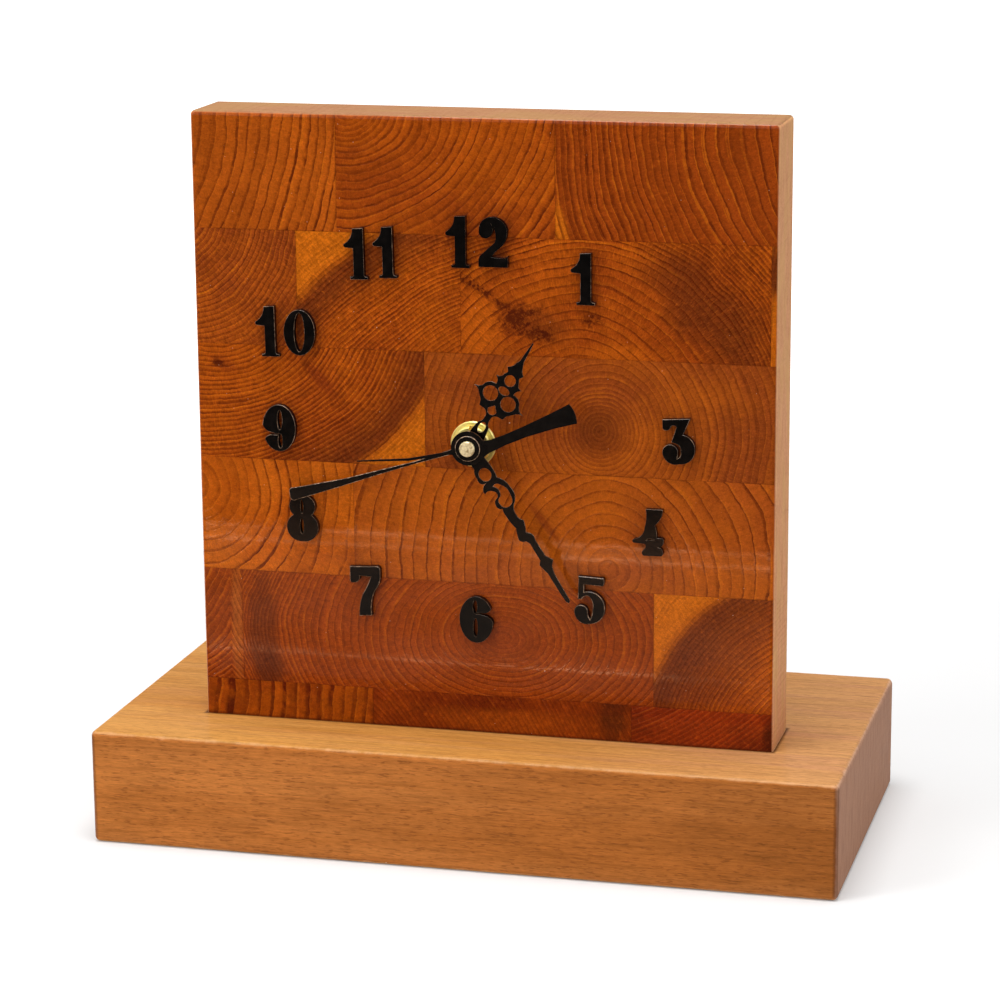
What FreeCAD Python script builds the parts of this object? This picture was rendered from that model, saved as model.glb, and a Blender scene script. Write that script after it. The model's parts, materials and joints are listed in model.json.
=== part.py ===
import FreeCAD, Part
import math
import os
from FreeCAD import Vector

os.makedirs("parts", exist_ok=True)

# Wooden desk clock: an end-grain block panel standing on a solid board, with glued-on
# numerals, four hands on one centre and a battery quartz movement let into the back.
#
# Frame: +Z up, the dial looks along -Y, +X is to the right of someone reading it.
# Origin: middle of the underside of the whole clock. Lengths in millimetres.
#
# Inside the clock every place is given from the hand axis: x to the right, z up, and
# depth from the dial face, positive into the wood and negative out towards the reader.

# ---------------------------------------------------------------- driving dimensions

# Base board
base_length = 259.0
base_depth = 126.0
base_height = 40.0
base_edge_round = 2.0

# Dial panel, glued up from end-grain blocks in courses
panel_width = 200.0
panel_height = 210.5
panel_thickness = 27.0
panel_edge_round = 1.5
panel_setback = 30.0
panel_shift = 2.5
course_height = 39.5
foot_course_height = 13.0
# Courses are laid from the foot up; the top one fills what is left of the height.
# Block widths from the left, course by course from the top. The last block of a
# course fills what is left of the width.
course_block_widths = (
    (50.8, 75.0),
    (36.3, 57.0, 104.5),
    (80.5,),
    (55.0,),
    (14.2, 145.0),
    (60.8, 90.7),
)

# Hand axis, from the panel's middle and from the top of the base
axis_offset = -2.6
axis_height = 100.9

# Movement recess in the back of the panel, and the hole for the bush
web_thickness = 8.0
recess_gap = 1.5
bush_hole_gap = 0.3

# Screws that hold the panel on the base
screw_spacing = 130.0
screw_length = 60.0
screw_shank_radius = 2.4
screw_head_radius = 4.6
screw_head_height = 3.4
screw_tip_length = 7.0
screw_tip_radius = 0.3
counterbore_radius = 5.6
counterbore_depth = 8.0
screw_hole_gap = 0.05

# Numerals
numeral_height = 17.0
numeral_thickness = 2.2
dial_radius = 66.0
dial_lift = 4.0
digit_pitch = 10.4

# Fits
running_gap = 0.06
press_gap = 0.02
wheel_gap = 0.3

# Fixings on the front of the bush
washer_radius = 7.8
washer_thickness = 1.0
washer_chamfer = 0.3
nut_radius = 6.5
nut_height = 2.4
nut_chamfer = 0.5
nut_slot_width = 1.4
nut_slot_depth = 1.2
rubber_washer_radius = 9.0
rubber_washer_thickness = 1.0

# Threaded bush
bush_radius = 4.0
bush_spigot_radius = 3.4
bush_flange_radius = 5.6
bush_flange_thickness = 0.6
bush_thread_stand = 0.1
bush_spigot_length = 1.1

# Coaxial tubes and arbors of the hands
hour_tube_radius = 2.5
minute_tube_radius = 1.5
seconds_arbor_radius = 0.5

# Hands: reach from the axis, rings round the tubes, thickness, and the gap from one
# hand's front to the next hand's back
hour_hand_length = 42.2
minute_hand_length = 62.0
second_tail_length = 38.8
pointer_hand_length = 67.1
pointer_ring_width = 1.8
hour_ring_width = 1.5
minute_ring_width = 2.1
hand_thickness = 0.45
hand_step = 0.75
tube_stand = 0.2
pointer_stand = 0.15
second_collar_radius = 4.3
second_collar_height = 0.6
second_disc_radius = 5.85
cap_radius = 2.6
cap_height = 1.0
cap_chamfer = 0.25

# Where each hand points, in degrees clockwise from twelve
hour_angle = 31.4
minute_angle = 146.5
second_tail_angle = 68.9
pointer_angle = 252.5

# Quartz movement case
case_size = 56.0
case_depth = 16.0
case_corner_round = 2.5
front_plate_thickness = 1.2
case_wall = 1.2
bay_wall_height = -10.5
bay_wall_thickness = 1.0
middle_plate_thickness = 0.8
middle_plate_gap = 0.1
pivot_depth = 0.7
plate_side_gap = 0.2
ledge_width = 1.2
ledge_height = 6.0
ledge_low = -1.0
ledge_high = 18.0

# Wheel train
wheel_thickness = 1.0
train_spacing = 11.2
motion_spacing = 8.4
intermediate_spacing = 7.2
rotor_spacing = 7.0
third_direction = 150.0
motion_direction = 30.0
intermediate_direction = 60.0
rotor_direction = 20.0
knob_direction = -20.0
arbor_radius = 0.5
fine_arbor_radius = 0.4
motion_post_radius = 0.85
knob_shaft_radius = 1.2
wheel_hub_radius = 3.0
pinion_hole_gap = 0.4

seconds_pinion_teeth = 8
third_wheel_teeth = 64
third_pinion_teeth = 8
centre_wheel_teeth = 60
cannon_pinion_teeth = 12
motion_wheel_teeth = 36
motion_pinion_teeth = 10
hour_wheel_teeth = 40
seconds_wheel_teeth = 40
intermediate_pinion_teeth = 8
intermediate_wheel_teeth = 48
rotor_pinion_teeth = 8
knob_pinion_teeth = 12

# Tooth form, in modules and in parts of the tooth pitch
addendum = 0.75
dedendum = 1.1
tooth_root_share = 0.24
tooth_tip_share = 0.09

# Step motor
magnet_radius = 3.0
magnet_thickness = 1.6
stator_gap = 0.5
stator_thickness = 0.8
stator_arm_width = 3.0
stator_lift = 1.2
stator_left = 6.4
stator_right = 22.0
stator_bottom = 4.6
stator_top = 22.0
stator_body_top = 12.9
coil_half_height = 2.1
coil_half_width = 3.0
coil_end_gap = 0.3
coil_core_thickness = 0.8
stator_post_radius = 1.0

# Circuit board with its chip and crystal
board_width = 15.1
board_height = 34.1
board_thickness = 0.8
board_rib_height = 0.8
board_rib_width = 2.0
chip_radius = 3.2
chip_height = 0.9
chip_round = 0.7
chip_z = 4.0
crystal_radius = 1.0
crystal_length = 6.0
crystal_inset = 4.0
crystal_z = 14.0
crystal_round = 0.3
solder_gap = 0.05

# Battery and contacts
battery_radius = 7.15
battery_length = 50.5
battery_nub_radius = 2.75
battery_nub_length = 1.0
battery_edge_round = 0.6
battery_side_gap = 0.25
contact_thickness = 0.4
contact_gap = 0.05
contact_width = 6.0
contact_rise = 8.0
spring_leaf_width = 5.0
spring_leaf_root = 0.7
strip_width = 2.5
strip_length = 46.8
strip_back_gap = 0.3

# Setting knob
knob_radius = 5.5
knob_thickness = 2.6
knob_case_gap = 0.3
knob_shaft_depth = 1.8
knob_grips = 18
knob_grip_radius = 0.45

# ---------------------------------------------------------------- derived places

face_y = panel_setback - base_depth / 2
axis_x = panel_shift + axis_offset
axis_z = base_height + axis_height
panel_left = panel_shift - panel_width / 2
half_case = case_size / 2

case_front = web_thickness + rubber_washer_thickness
plate_back = case_front + front_plate_thickness
case_back = case_front + case_depth
case_inside = case_back - case_wall
inner_side = half_case - case_wall
bay_top = bay_wall_height - bay_wall_thickness

# Levels of the wheels behind the dial face
hour_level = plate_back + bush_flange_thickness + wheel_gap
motion_level = hour_level + wheel_thickness + wheel_gap
centre_level = motion_level + wheel_thickness + wheel_gap
middle_front = centre_level + wheel_thickness + wheel_gap
middle_back = middle_front + middle_plate_thickness
third_level = middle_back + wheel_gap
seconds_level = third_level + wheel_thickness + wheel_gap
intermediate_level = seconds_level + wheel_thickness + wheel_gap

# Levels in front of the dial face
nut_front = washer_thickness + nut_height
spigot_back = nut_front + bush_thread_stand
spigot_front = spigot_back + bush_spigot_length
pointer_back = spigot_back + pointer_stand
hour_hand_back = pointer_back + hand_thickness + hand_step
hour_tube_front = hour_hand_back + hand_thickness + tube_stand
minute_hand_back = hour_hand_back + hand_thickness + hand_step
minute_tube_front = minute_hand_back + hand_thickness + tube_stand
second_hand_back = minute_hand_back + hand_thickness + hand_step
collar_front = second_hand_back + hand_thickness + second_collar_height
cap_front = collar_front + cap_height
cap_seat = collar_front + cap_height / 2

bush_bore = hour_tube_radius + running_gap
hour_tube_bore = minute_tube_radius + running_gap
minute_tube_bore = seconds_arbor_radius + running_gap


def polar(distance, degrees):
    """Point at a distance and direction from the hand axis, as (x, z)."""
    turn = math.radians(degrees)
    return distance * math.cos(turn), distance * math.sin(turn)


def beyond(start, distance, degrees):
    """Point at a distance and direction from another point, as (x, z)."""
    step = polar(distance, degrees)
    return start[0] + step[0], start[1] + step[1]


hand_centre = (0.0, 0.0)
third_centre = polar(train_spacing, third_direction)
motion_centre = polar(motion_spacing, motion_direction)
intermediate_centre = polar(intermediate_spacing, intermediate_direction)
rotor_centre = beyond(intermediate_centre, rotor_spacing, rotor_direction)
knob_module = 2 * motion_spacing / (cannon_pinion_teeth + motion_wheel_teeth)
knob_spacing = knob_module * (knob_pinion_teeth + motion_wheel_teeth) / 2
knob_centre = beyond(motion_centre, knob_spacing, knob_direction)


# ---------------------------------------------------------------- building blocks

def save(name, *solids):
    """Write one node, a single solid or a group of separate ones."""
    shape = solids[0] if len(solids) == 1 else Part.makeCompound(list(solids))
    shape.exportStep("parts/" + name + ".step")


def place(x, depth, z):
    """A point given from the hand axis and the dial face, in the clock's frame."""
    return Vector(axis_x + x, face_y + depth, axis_z + z)


def rod(centre, radius, front, back):
    """Round bar along the depth, from one depth to another."""
    return Part.makeCylinder(
        radius, back - front, place(centre[0], front, centre[1]), Vector(0, 1, 0))


def tube(centre, outer, bore, front, back):
    """Round bar with a hole right through."""
    return rod(centre, outer, front, back).cut(rod(centre, bore, front, back))


def brick(left, right, bottom, top, front, back):
    """Box between two x, two z and two depths."""
    return Part.makeBox(
        right - left, back - front, top - bottom, place(left, front, bottom))


def outline(start, *steps):
    """Closed outline in the dial's plane. A step of two numbers is a straight line
    to that point; a step of four is an arc through the first point to the second."""
    here = Vector(start[0], 0, start[1])
    first = here
    edges = []
    for step in steps:
        there = Vector(step[-2], 0, step[-1])
        if len(step) == 2:
            edges.append(Part.LineSegment(here, there).toShape())
        else:
            middle = Vector(step[0], 0, step[1])
            edges.append(Part.Arc(here, middle, there).toShape())
        here = there
    if here.distanceToPoint(first) > 1e-6:
        edges.append(Part.LineSegment(here, first).toShape())
    return Part.Face(Part.Wire(edges))


def oval(x, z, half_width, half_height):
    """Upright ellipse in the dial's plane."""
    centre = Vector(x, 0, z)
    if half_height > half_width:
        curve = Part.Ellipse(Vector(x, 0, z + half_height), Vector(x + half_width, 0, z), centre)
    elif half_width > half_height:
        curve = Part.Ellipse(Vector(x + half_width, 0, z), Vector(x, 0, z + half_height), centre)
    else:
        curve = Part.Circle(centre, Vector(0, -1, 0), half_width)
    return Part.Face(Part.Wire([curve.toShape()]))


def slab(face, thickness):
    """Flat piece of a thickness, its back at y = 0 and its front towards the reader."""
    return face.extrude(Vector(0, -thickness, 0))


def joined(shapes):
    """One solid from pieces that touch or overlap."""
    whole = shapes[0]
    for shape in shapes[1:]:
        whole = whole.fuse(shape)
    return whole.removeSplitter()


def without(shape, cutters):
    """A shape with several others taken away."""
    for cutter in cutters:
        shape = shape.cut(cutter)
    return shape


def depth_edges(shape):
    """Edges of a box that run along the depth."""
    return [edge for edge in shape.Edges
            if abs(edge.Vertexes[0].Y - edge.Vertexes[-1].Y) > 1e-6]


def round_edges(shape):
    """The two rims of a round bar."""
    return [edge for edge in shape.Edges if edge.isClosed()]


# ---------------------------------------------------------------- toothed wheels

def module_of(distance, teeth_a, teeth_b):
    """Module of two wheels that mesh at a centre distance."""
    return 2 * distance / (teeth_a + teeth_b)


def towards(here, there):
    """Direction from one centre to another, in radians from +X towards +Z."""
    return math.atan2(there[1] - here[1], there[0] - here[0])


def meshing_phase(centre, phase, teeth, other_centre, other_teeth):
    """Tooth direction that puts the other wheel in mesh with this one."""
    line = towards(centre, other_centre)
    pitch_ratio = teeth / other_teeth
    return line + math.pi + math.pi / other_teeth - (phase - line) * pitch_ratio


def toothed(centre, teeth, module, phase, front, bore):
    """Spur wheel with straight-sided teeth and a round bore (no bore when it is 0)."""
    pitch = 2 * math.pi / teeth
    root = module * (teeth / 2 - dedendum)
    tip = module * (teeth / 2 + addendum)
    corners = []
    for tooth in range(teeth):
        middle = phase + tooth * pitch
        for share, radius in (
                (-tooth_root_share, root), (-tooth_tip_share, tip),
                (tooth_tip_share, tip), (tooth_root_share, root)):
            turn = middle + share * pitch
            x = centre[0] + radius * math.cos(turn)
            z = centre[1] + radius * math.sin(turn)
            corners.append(place(x, front, z))
    face = Part.Face(Part.makePolygon(corners + corners[:1]))
    wheel = face.extrude(Vector(0, wheel_thickness, 0))
    if bore > 0:
        wheel = wheel.cut(rod(centre, bore, front, front + wheel_thickness))
    return wheel


# ---------------------------------------------------------------- wood

def base_board():
    """Solid board with eased edges and two counterbored screw holes."""
    board = Part.makeBox(
        base_length, base_depth, base_height, Vector(-base_length / 2, -base_depth / 2, 0))
    board = board.makeFillet(base_edge_round, board.Edges)
    return without(board, screw_holes())


def screw_places():
    """Screw centres under the panel, as (x, y)."""
    y = face_y + panel_thickness / 2
    return [(panel_shift + side * screw_spacing / 2, y) for side in (-1, 1)]


def screw(gap):
    """The two screws, or with a gap the holes that they fill."""
    shank_top = counterbore_depth + screw_length
    up = Vector(0, 0, 1)
    bodies = []
    for x, y in screw_places():
        radius = screw_shank_radius + gap
        foot = Vector(x, y, counterbore_depth)
        head = Part.makeCone(
            screw_head_radius + gap, radius, screw_head_height, foot, up)
        shank = Part.makeCylinder(radius, screw_length - screw_tip_length, foot, up)
        tip_foot = Vector(x, y, shank_top - screw_tip_length)
        tip = Part.makeCone(radius, screw_tip_radius + gap, screw_tip_length, tip_foot, up)
        bodies.append(joined([head, shank, tip]))
    return bodies


def screw_holes():
    """Counterbores and clearance holes for the two screws."""
    holes = screw(screw_hole_gap)
    for x, y in screw_places():
        holes.append(Part.makeCylinder(counterbore_radius, counterbore_depth, Vector(x, y, 0)))
    return holes


def rounded_panel():
    """The whole panel with its outer edges eased, all but those on the base."""
    panel = Part.makeBox(
        panel_width, panel_thickness, panel_height, Vector(panel_left, face_y, base_height))
    eased = [edge for edge in panel.Edges if edge.CenterOfMass.z > base_height + 1e-6]
    return panel.makeFillet(panel_edge_round, eased)


def course_joints():
    """Heights over the panel's foot of its top, the joints between the courses and the foot."""
    courses_between = len(course_block_widths) - 2
    joints = [foot_course_height + laid * course_height for laid in range(courses_between, -1, -1)]
    return [panel_height] + [min(joint, panel_height) for joint in joints] + [0.0]


def panel_blocks():
    """Every block of the panel, as (course, block, solid), cut round the movement."""
    whole = rounded_panel()
    recess = half_case + recess_gap
    cutters = screw(screw_hole_gap)
    cutters.append(brick(-recess, recess, -recess, recess, web_thickness, panel_thickness))
    cutters.append(rod(hand_centre, bush_radius + bush_hole_gap, 0, web_thickness))
    blocks = []
    joints = course_joints()
    for course, widths in enumerate(course_block_widths):
        top, bottom = joints[course], joints[course + 1]
        left = 0.0
        for index, width in enumerate(widths + (panel_width,)):
            right = min(left + width, panel_width)
            if right > left and top > bottom:
                piece = Part.makeBox(
                    right - left, panel_thickness, top - bottom,
                    Vector(panel_left + left, face_y, base_height + bottom))
                piece = without(piece.common(whole), cutters).removeSplitter()
                blocks.append((course + 1, index + 1, piece))
            left = right
    return blocks


# ---------------------------------------------------------------- numerals

# Height that the digits below are drawn at
digits_drawn_units = 17.0


def digit_one():
    """Thick stem with a flag on the left and a thin foot."""
    return outline(
        (-1.85, -7.2), (-1.85, 1.9), (-4.4, 2.1), (-5.1, 2.7, -4.9, 3.4),
        (-2.9, 5.2, -2.0, 8.5), (1.8, 8.7), (1.8, -7.2), (2.2, -7.6, 3.1, -7.7),
        (3.1, -8.6), (-3.1, -8.6), (-3.1, -7.7), (-2.2, -7.6, -1.85, -7.2))


def digit_two():
    """Ball, heavy bowl and a straight foot with a raised end."""
    return outline(
        (-4.9, -8.2), (5.1, -8.2), (5.1, -4.3), (4.4, -5.0, 3.4, -5.2), (-0.8, -4.9),
        (1.5, -2.4), (4.2, 0.6, 4.9, 4.1), (3.2, 7.1, -0.8, 8.4),
        (-3.6, 7.1, -4.7, 4.1), (-4.1, 2.0, -2.3, 1.3), (-0.2, 3.2, -0.6, 6.2),
        (0.5, 4.5, 0.7, 0.1), (-4.3, -4.4), (-4.9, -5.5))


def digit_three():
    """Flat top, slanting neck, bowl and ball."""
    return outline(
        (-5.0, 7.4), (4.4, 7.7), (1.8, 2.3), (4.8, 0.3, 5.7, -3.0),
        (4.1, -6.4, 0.3, -7.6), (-3.9, -6.7, -5.3, -3.9), (-4.6, -1.8, -2.7, -1.0),
        (-0.8, -1.8, -0.1, -3.7), (-0.2, -4.8, -0.5, -5.8), (0.6, -5.0, 0.8, -3.3),
        (0.6, -1.6, -0.4, -0.8), (-2.2, -0.2), (-0.3, 4.9), (-1.4, 5.4, -2.4, 4.6),
        (-3.0, 3.9, -3.9, 3.8), (-4.8, 4.1, -5.0, 5.0))


def digit_four():
    """Leaning stroke on a waisted foot, with the bar drawn as a thin slot."""
    body = outline(
        (-1.0, 7.8), (4.8, 7.8), (4.7, 6.8), (3.9, 4.5, 2.1, 2.3), (2.7, 0.2, 2.8, -1.9),
        (4.2, -2.0), (5.0, -2.3, 5.0, -3.1), (4.7, -4.4, 3.5, -4.9), (3.2, -5.1),
        (4.4, -5.6, 4.8, -6.6), (4.7, -7.8, 4.0, -8.1), (-1.6, -8.2),
        (-2.3, -7.3, -1.8, -6.2), (-1.0, -5.2, -1.2, -4.1), (-5.0, -3.9),
        (-5.5, -3.3, -4.9, -2.6), (-2.4, -1.2, -1.4, 1.3), (-0.8, 4.5, -1.0, 7.8))
    return body.cut(outline((-0.9, -2.9), (2.1, -2.5), (2.1, -2.2), (-0.2, -2.3)))


def digit_five():
    """Flat flag, upright, bowl and ball."""
    return outline(
        (-3.6, 8.1), (5.0, 7.9), (5.3, 6.5, 4.9, 5.1), (-1.6, 5.3), (-1.6, 2.7),
        (3.4, 1.9, 5.6, -2.9), (4.0, -6.8, 0.7, -8.3), (-3.2, -7.6, -4.9, -4.4),
        (-4.3, -2.6, -2.5, -1.9), (-0.8, -2.6, -0.2, -4.4), (0.1, -5.7, 0.6, -6.7),
        (1.2, -5.1, 1.4, -3.3), (1.2, -0.4, 0.2, 1.2), (-1.2, 1.3, -2.3, 0.1), (-3.7, 0.1))


def digit_six():
    """Fat oval with two narrow slits and a bite that frees the ball."""
    bite = outline(
        (0.0, 2.3), (2.4, 2.3), (4.3, 2.8, 5.3, 4.6), (7.5, 4.8), (7.5, -2.9), (6.0, -2.8),
        (5.0, 0.4, 3.2, 1.4), (1.1, 1.9), (0.0, 1.8))
    cuts = [bite, oval(-0.4, 4.4, 0.75, 2.4), oval(-0.3, -2.9, 0.8, 3.3)]
    return without(oval(0.0, -0.1, 5.9, 8.1), cuts)


def digit_seven():
    """Flat top with a drop on the left and a heavy curved stroke."""
    return outline(
        (-5.4, 8.5), (4.3, 8.8), (5.2, 8.3, 5.4, 7.3), (5.4, 4.6), (4.7, 2.3, 3.3, 0.2),
        (2.2, -3.1, 2.0, -8.6), (-2.5, -8.9), (-2.1, -4.4, -1.1, -1.1), (0.6, 1.9, 1.9, 5.0),
        (-1.9, 5.2), (-2.6, 3.3, -4.0, 2.8), (-5.1, 2.9, -5.5, 3.7))


def digit_eight():
    """Two fat lobes with a narrow slit in each."""
    lobes = outline(
        (-3.1, 1.1), (-4.5, 4.6, 0.1, 7.9), (4.7, 4.6, 3.3, 1.1),
        (5.6, -4.2, 0.1, -8.1), (-5.4, -4.2, -3.1, 1.1))
    return without(lobes, [oval(0.0, 4.1, 0.5, 2.4), oval(-0.1, -2.8, 0.65, 2.7)])


def digit_nine():
    """A six turned upside down."""
    face = digit_six()
    face.rotate(Vector(0, 0, 0), Vector(0, 1, 0), 180)
    return face


def digit_nought():
    """Fat oval with a narrow upright counter."""
    return oval(0.0, 0.0, 5.5, 7.8).cut(oval(0.0, 0.1, 1.8, 6.6))


digit_faces = {
    "0": digit_nought, "1": digit_one, "2": digit_two, "3": digit_three,
    "4": digit_four, "5": digit_five, "6": digit_six, "7": digit_seven,
    "8": digit_eight, "9": digit_nine,
}

# The digits were glued on by hand. Digit by digit: how far it sits, in x and z, from
# its true place on the dial circle, and its lean in degrees clockwise. There is no 2.
numeral_places = {
    12: ((1.8, -1.6, 0.0), (2.5, -1.4, 0.0)),
    1: ((6.1, -3.7, 0.0),),
    3: ((4.1, 0.5, -2.0),),
    4: ((3.2, 2.3, 0.0),),
    5: ((6.9, 1.8, 1.0),),
    6: ((0.9, 1.5, 0.0),),
    7: ((-5.1, 0.3, -1.0),),
    8: ((-3.1, 0.5, 0.0),),
    9: ((-1.8, -1.5, 0.0),),
    10: ((-7.9, -1.2, -1.0), (-7.9, -1.2, 0.0)),
    11: ((-0.4, 2.1, -1.0), (-0.7, 2.9, -1.0)),
}


def numeral(hour):
    """Raised numeral for an hour, its back on the panel's face."""
    digits = str(hour)
    clock_turn = math.radians(hour * 30)
    solids = []
    for index, digit in enumerate(digits):
        off_x, off_z, lean = numeral_places[hour][index]
        across = (index - (len(digits) - 1) / 2) * digit_pitch
        x = dial_radius * math.sin(clock_turn) + across + off_x
        z = dial_radius * math.cos(clock_turn) + dial_lift + off_z
        face = digit_faces[digit]()
        face.scale(numeral_height / digits_drawn_units, Vector(0, 0, 0))
        piece = slab(face, numeral_thickness)
        piece.rotate(Vector(0, 0, 0), Vector(0, 1, 0), lean)
        piece.translate(place(x, 0, z))
        solids.extend(piece.Solids)
    return solids


# ---------------------------------------------------------------- hands

# Lengths that the hands below are drawn at
hour_hand_drawn_units = 42.2
minute_hand_drawn_units = 62.0
second_tail_drawn_units = 38.8
pointer_hand_drawn_units = 67.1


def mounted(hand, back, angle):
    """A hand made pointing at twelve, put on the axis with its back this far in front
    of the dial face and turned clockwise by an angle."""
    hand.rotate(Vector(0, 0, 0), Vector(0, 1, 0), angle)
    hand.translate(place(0, -back, 0))
    return hand


def hub_disc(radius):
    """Round plate as thick as a hand."""
    return slab(oval(0, 0, radius, radius), hand_thickness)


def hand_plate(pieces, holes, length, drawn_units):
    """Flat hand from outlines that touch or overlap, less its openings, brought from
    the length that it is drawn at to its own."""
    for face in pieces + holes:
        face.scale(length / drawn_units, Vector(0, 0, 0))
    plate = joined([slab(piece, hand_thickness) for piece in pieces])
    return without(plate, [slab(hole, hand_thickness) for hole in holes])


def ringed(plate, bore, ring_width):
    """A hand joined to a ring round the tube that it sits on."""
    return joined([plate, hub_disc(bore + ring_width)]).cut(hub_disc(bore))


def hour_hand_plate():
    """Openwork spade: the right half is drawn and mirrored."""
    right = outline(
        (0, 2.0), (3.1, 2.0), (2.6, 6.4), (2.1, 9.2), (1.2, 10.4, 1.05, 11.7),
        (1.5, 13.4, 3.4, 14.2), (4.6, 14.3), (5.3, 16.2), (6.8, 17.7), (8.0, 18.8, 9.75, 19.3),
        (7.9, 20.0, 7.0, 21.2), (6.0, 22.8, 3.5, 23.5), (3.9, 25.2, 5.1, 26.2),
        (3.4, 26.9, 2.9, 28.2), (2.4, 28.9, 2.3, 29.5), (3.2, 30.7), (1.9, 31.9, 1.3, 33.4),
        (0.75, 34.8, 0.6, 36.4), (0.25, 42.0), (0, 42.2))
    left = right.mirror(Vector(0, 0, 0), Vector(1, 0, 0))
    holes = [
        oval(3.5, 19.8, 2.6, 2.6),
        oval(-3.5, 19.8, 2.6, 2.6),
        oval(0, 22.9, 2.0, 1.35),
        outline((0, 25.0), (1.6, 25.9, 1.9, 27.1), (1.3, 28.5, 0, 29.0), (-1.3, 28.5, -1.9, 27.1),
                (-1.6, 25.9, 0, 25.0)),
        outline((0, 13.4), (1.2, 14.0, 1.6, 15.2), (0, 17.0), (-1.6, 15.2), (-1.2, 14.0, 0, 13.4)),
        oval(0, 8.1, 1.2, 2.0),
    ]
    return hand_plate([right, left], holes, hour_hand_length, hour_hand_drawn_units)


def minute_hand_plate():
    """Serpentine blade: ring, open scroll, beads and a long point."""
    blade = outline(
        (-2.8, 0.0), (-2.8, 6.5), (-3.1, 10.6, -2.7, 13.4), (-4.1, 15.2, -4.8, 18.3),
        (-4.7, 21.3, -2.7, 23.9), (-1.6, 25.4, -1.3, 27.4), (-1.4, 28.6, -2.4, 30.1),
        (-2.0, 31.6, -0.8, 34.0), (-2.2, 35.4), (-2.5, 36.4), (-2.1, 38.0), (-2.1, 44.2),
        (-3.7, 46.6), (-2.1, 48.3), (-1.4, 50.6), (-1.1, 55.8), (-0.9, 60.2), (-0.5, 61.6, 0, 62.0),
        (0.6, 61.0), (0.7, 57.8), (0.6, 49.8), (1.0, 48.1), (1.5, 45.9), (0.35, 44.6),
        (0.2, 38.0), (0.9, 36.7), (2.1, 36.2, 2.8, 35.0), (2.3, 33.3, 1.4, 31.2),
        (1.9, 28.6, 2.0, 24.2), (1.7, 23.3), (2.9, 22.4, 3.0, 21.0), (2.5, 19.9, 1.3, 19.3),
        (0.4, 18.2, 1.0, 16.8), (2.2, 15.9, 4.1, 16.2), (3.4, 13.9, 1.9, 13.2),
        (3.5, 12.2, 3.5, 10.4), (3.3, 8.3, 2.6, 7.2), (2.8, 0.0))
    ring_hole = oval(0.35, 10.5, 2.15, 2.3)
    scroll_hole = outline(
        (0.2, 15.3), (-0.8, 17.6, 0.1, 19.5), (1.4, 20.4, 1.5, 21.7), (0.6, 23.4, -0.9, 23.7),
        (-2.6, 22.9, -3.3, 21.0), (-3.5, 18.4, -2.2, 15.9), (-1.1, 15.0, 0.2, 15.3))
    return hand_plate(
        [blade], [ring_hole, scroll_hole], minute_hand_length, minute_hand_drawn_units)


def second_hand_plate():
    """Paddle-shaped tail above the hub, set a little to the right, and a thin bent
    needle below it."""
    tail = outline(
        (-4.4, 3.2), (-1.6, 5.0, -0.4, 9.0), (-0.4, 13.0), (-0.9, 20.0), (-2.1, 31.0),
        (-3.1, 38.3), (0.4, 39.1, 3.9, 38.5), (3.1, 31.0), (2.7, 21.0), (3.0, 13.0),
        (3.5, 9.0), (3.9, 6.0, 4.9, 3.2))
    needle = outline(
        (-2.6, 0.0), (2.6, 0.0), (-0.1, -7.0), (-2.5, -20.9), (-7.9, -38.4), (-8.3, -38.2),
        (-3.4, -20.9), (-1.2, -7.0))
    return hand_plate([tail, needle], [], second_tail_length, second_tail_drawn_units)


def pointer_hand_plate():
    """Long blade that widens steadily to a blunt end."""
    blade = outline(
        (-1.0, 0.0), (-0.9, 21.0), (-1.2, 34.0), (-1.7, 47.0), (-2.0, 60.0), (-2.15, 65.2),
        (-1.8, 66.7, -0.6, 67.1), (1.2, 66.8), (2.1, 66.2, 2.2, 65.0), (1.7, 60.0),
        (1.3, 54.5), (0.6, 46.5), (0.3, 34.0), (0.0, 21.0), (1.0, 0.0))
    return hand_plate([blade], [], pointer_hand_length, pointer_hand_drawn_units)


def pointer_hand():
    """Long pointer that turns by itself on the spigot of the bush."""
    bore = bush_spigot_radius + running_gap
    hand = ringed(pointer_hand_plate(), bore, pointer_ring_width)
    return mounted(hand, pointer_back, pointer_angle)


def hour_hand():
    """Spade hand pressed on the hour tube."""
    hand = ringed(hour_hand_plate(), hour_tube_radius + press_gap, hour_ring_width)
    return mounted(hand, hour_hand_back, hour_angle)


def minute_hand():
    """Serpentine hand pressed on the minute tube."""
    hand = ringed(minute_hand_plate(), minute_tube_radius + press_gap, minute_ring_width)
    return mounted(hand, minute_hand_back, minute_angle)


def second_hand():
    """Hand with its disc and raised collar, pressed on the seconds arbor."""
    plate = joined([second_hand_plate(), hub_disc(second_disc_radius)])
    hand = mounted(plate, second_hand_back, second_tail_angle)
    collar = rod(hand_centre, second_collar_radius, -collar_front, -second_hand_back)
    bore = rod(hand_centre, seconds_arbor_radius + press_gap, -collar_front, -second_hand_back)
    return joined([hand, collar]).cut(bore)


def second_hand_cap():
    """Pin head pressed over the end of the seconds arbor."""
    cap = rod(hand_centre, cap_radius, -cap_front, -collar_front)
    rim = [edge for edge in cap.Edges if edge.CenterOfMass.y < face_y - cap_seat]
    cap = cap.makeChamfer(cap_chamfer, rim)
    bore = rod(hand_centre, seconds_arbor_radius + press_gap, -cap_seat, -collar_front)
    return cap.cut(bore)


# ---------------------------------------------------------------- fixings and bush

def threaded_bush():
    """Brass bush that carries the movement: flange, threaded barrel and spigot."""
    barrel = rod(hand_centre, bush_radius, -spigot_back, plate_back)
    spigot = rod(hand_centre, bush_spigot_radius, -spigot_front, -spigot_back)
    flange = rod(hand_centre, bush_flange_radius, plate_back, plate_back + bush_flange_thickness)
    bore = rod(hand_centre, bush_bore, -spigot_front, plate_back + bush_flange_thickness)
    return joined([barrel, spigot, flange]).cut(bore)


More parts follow.
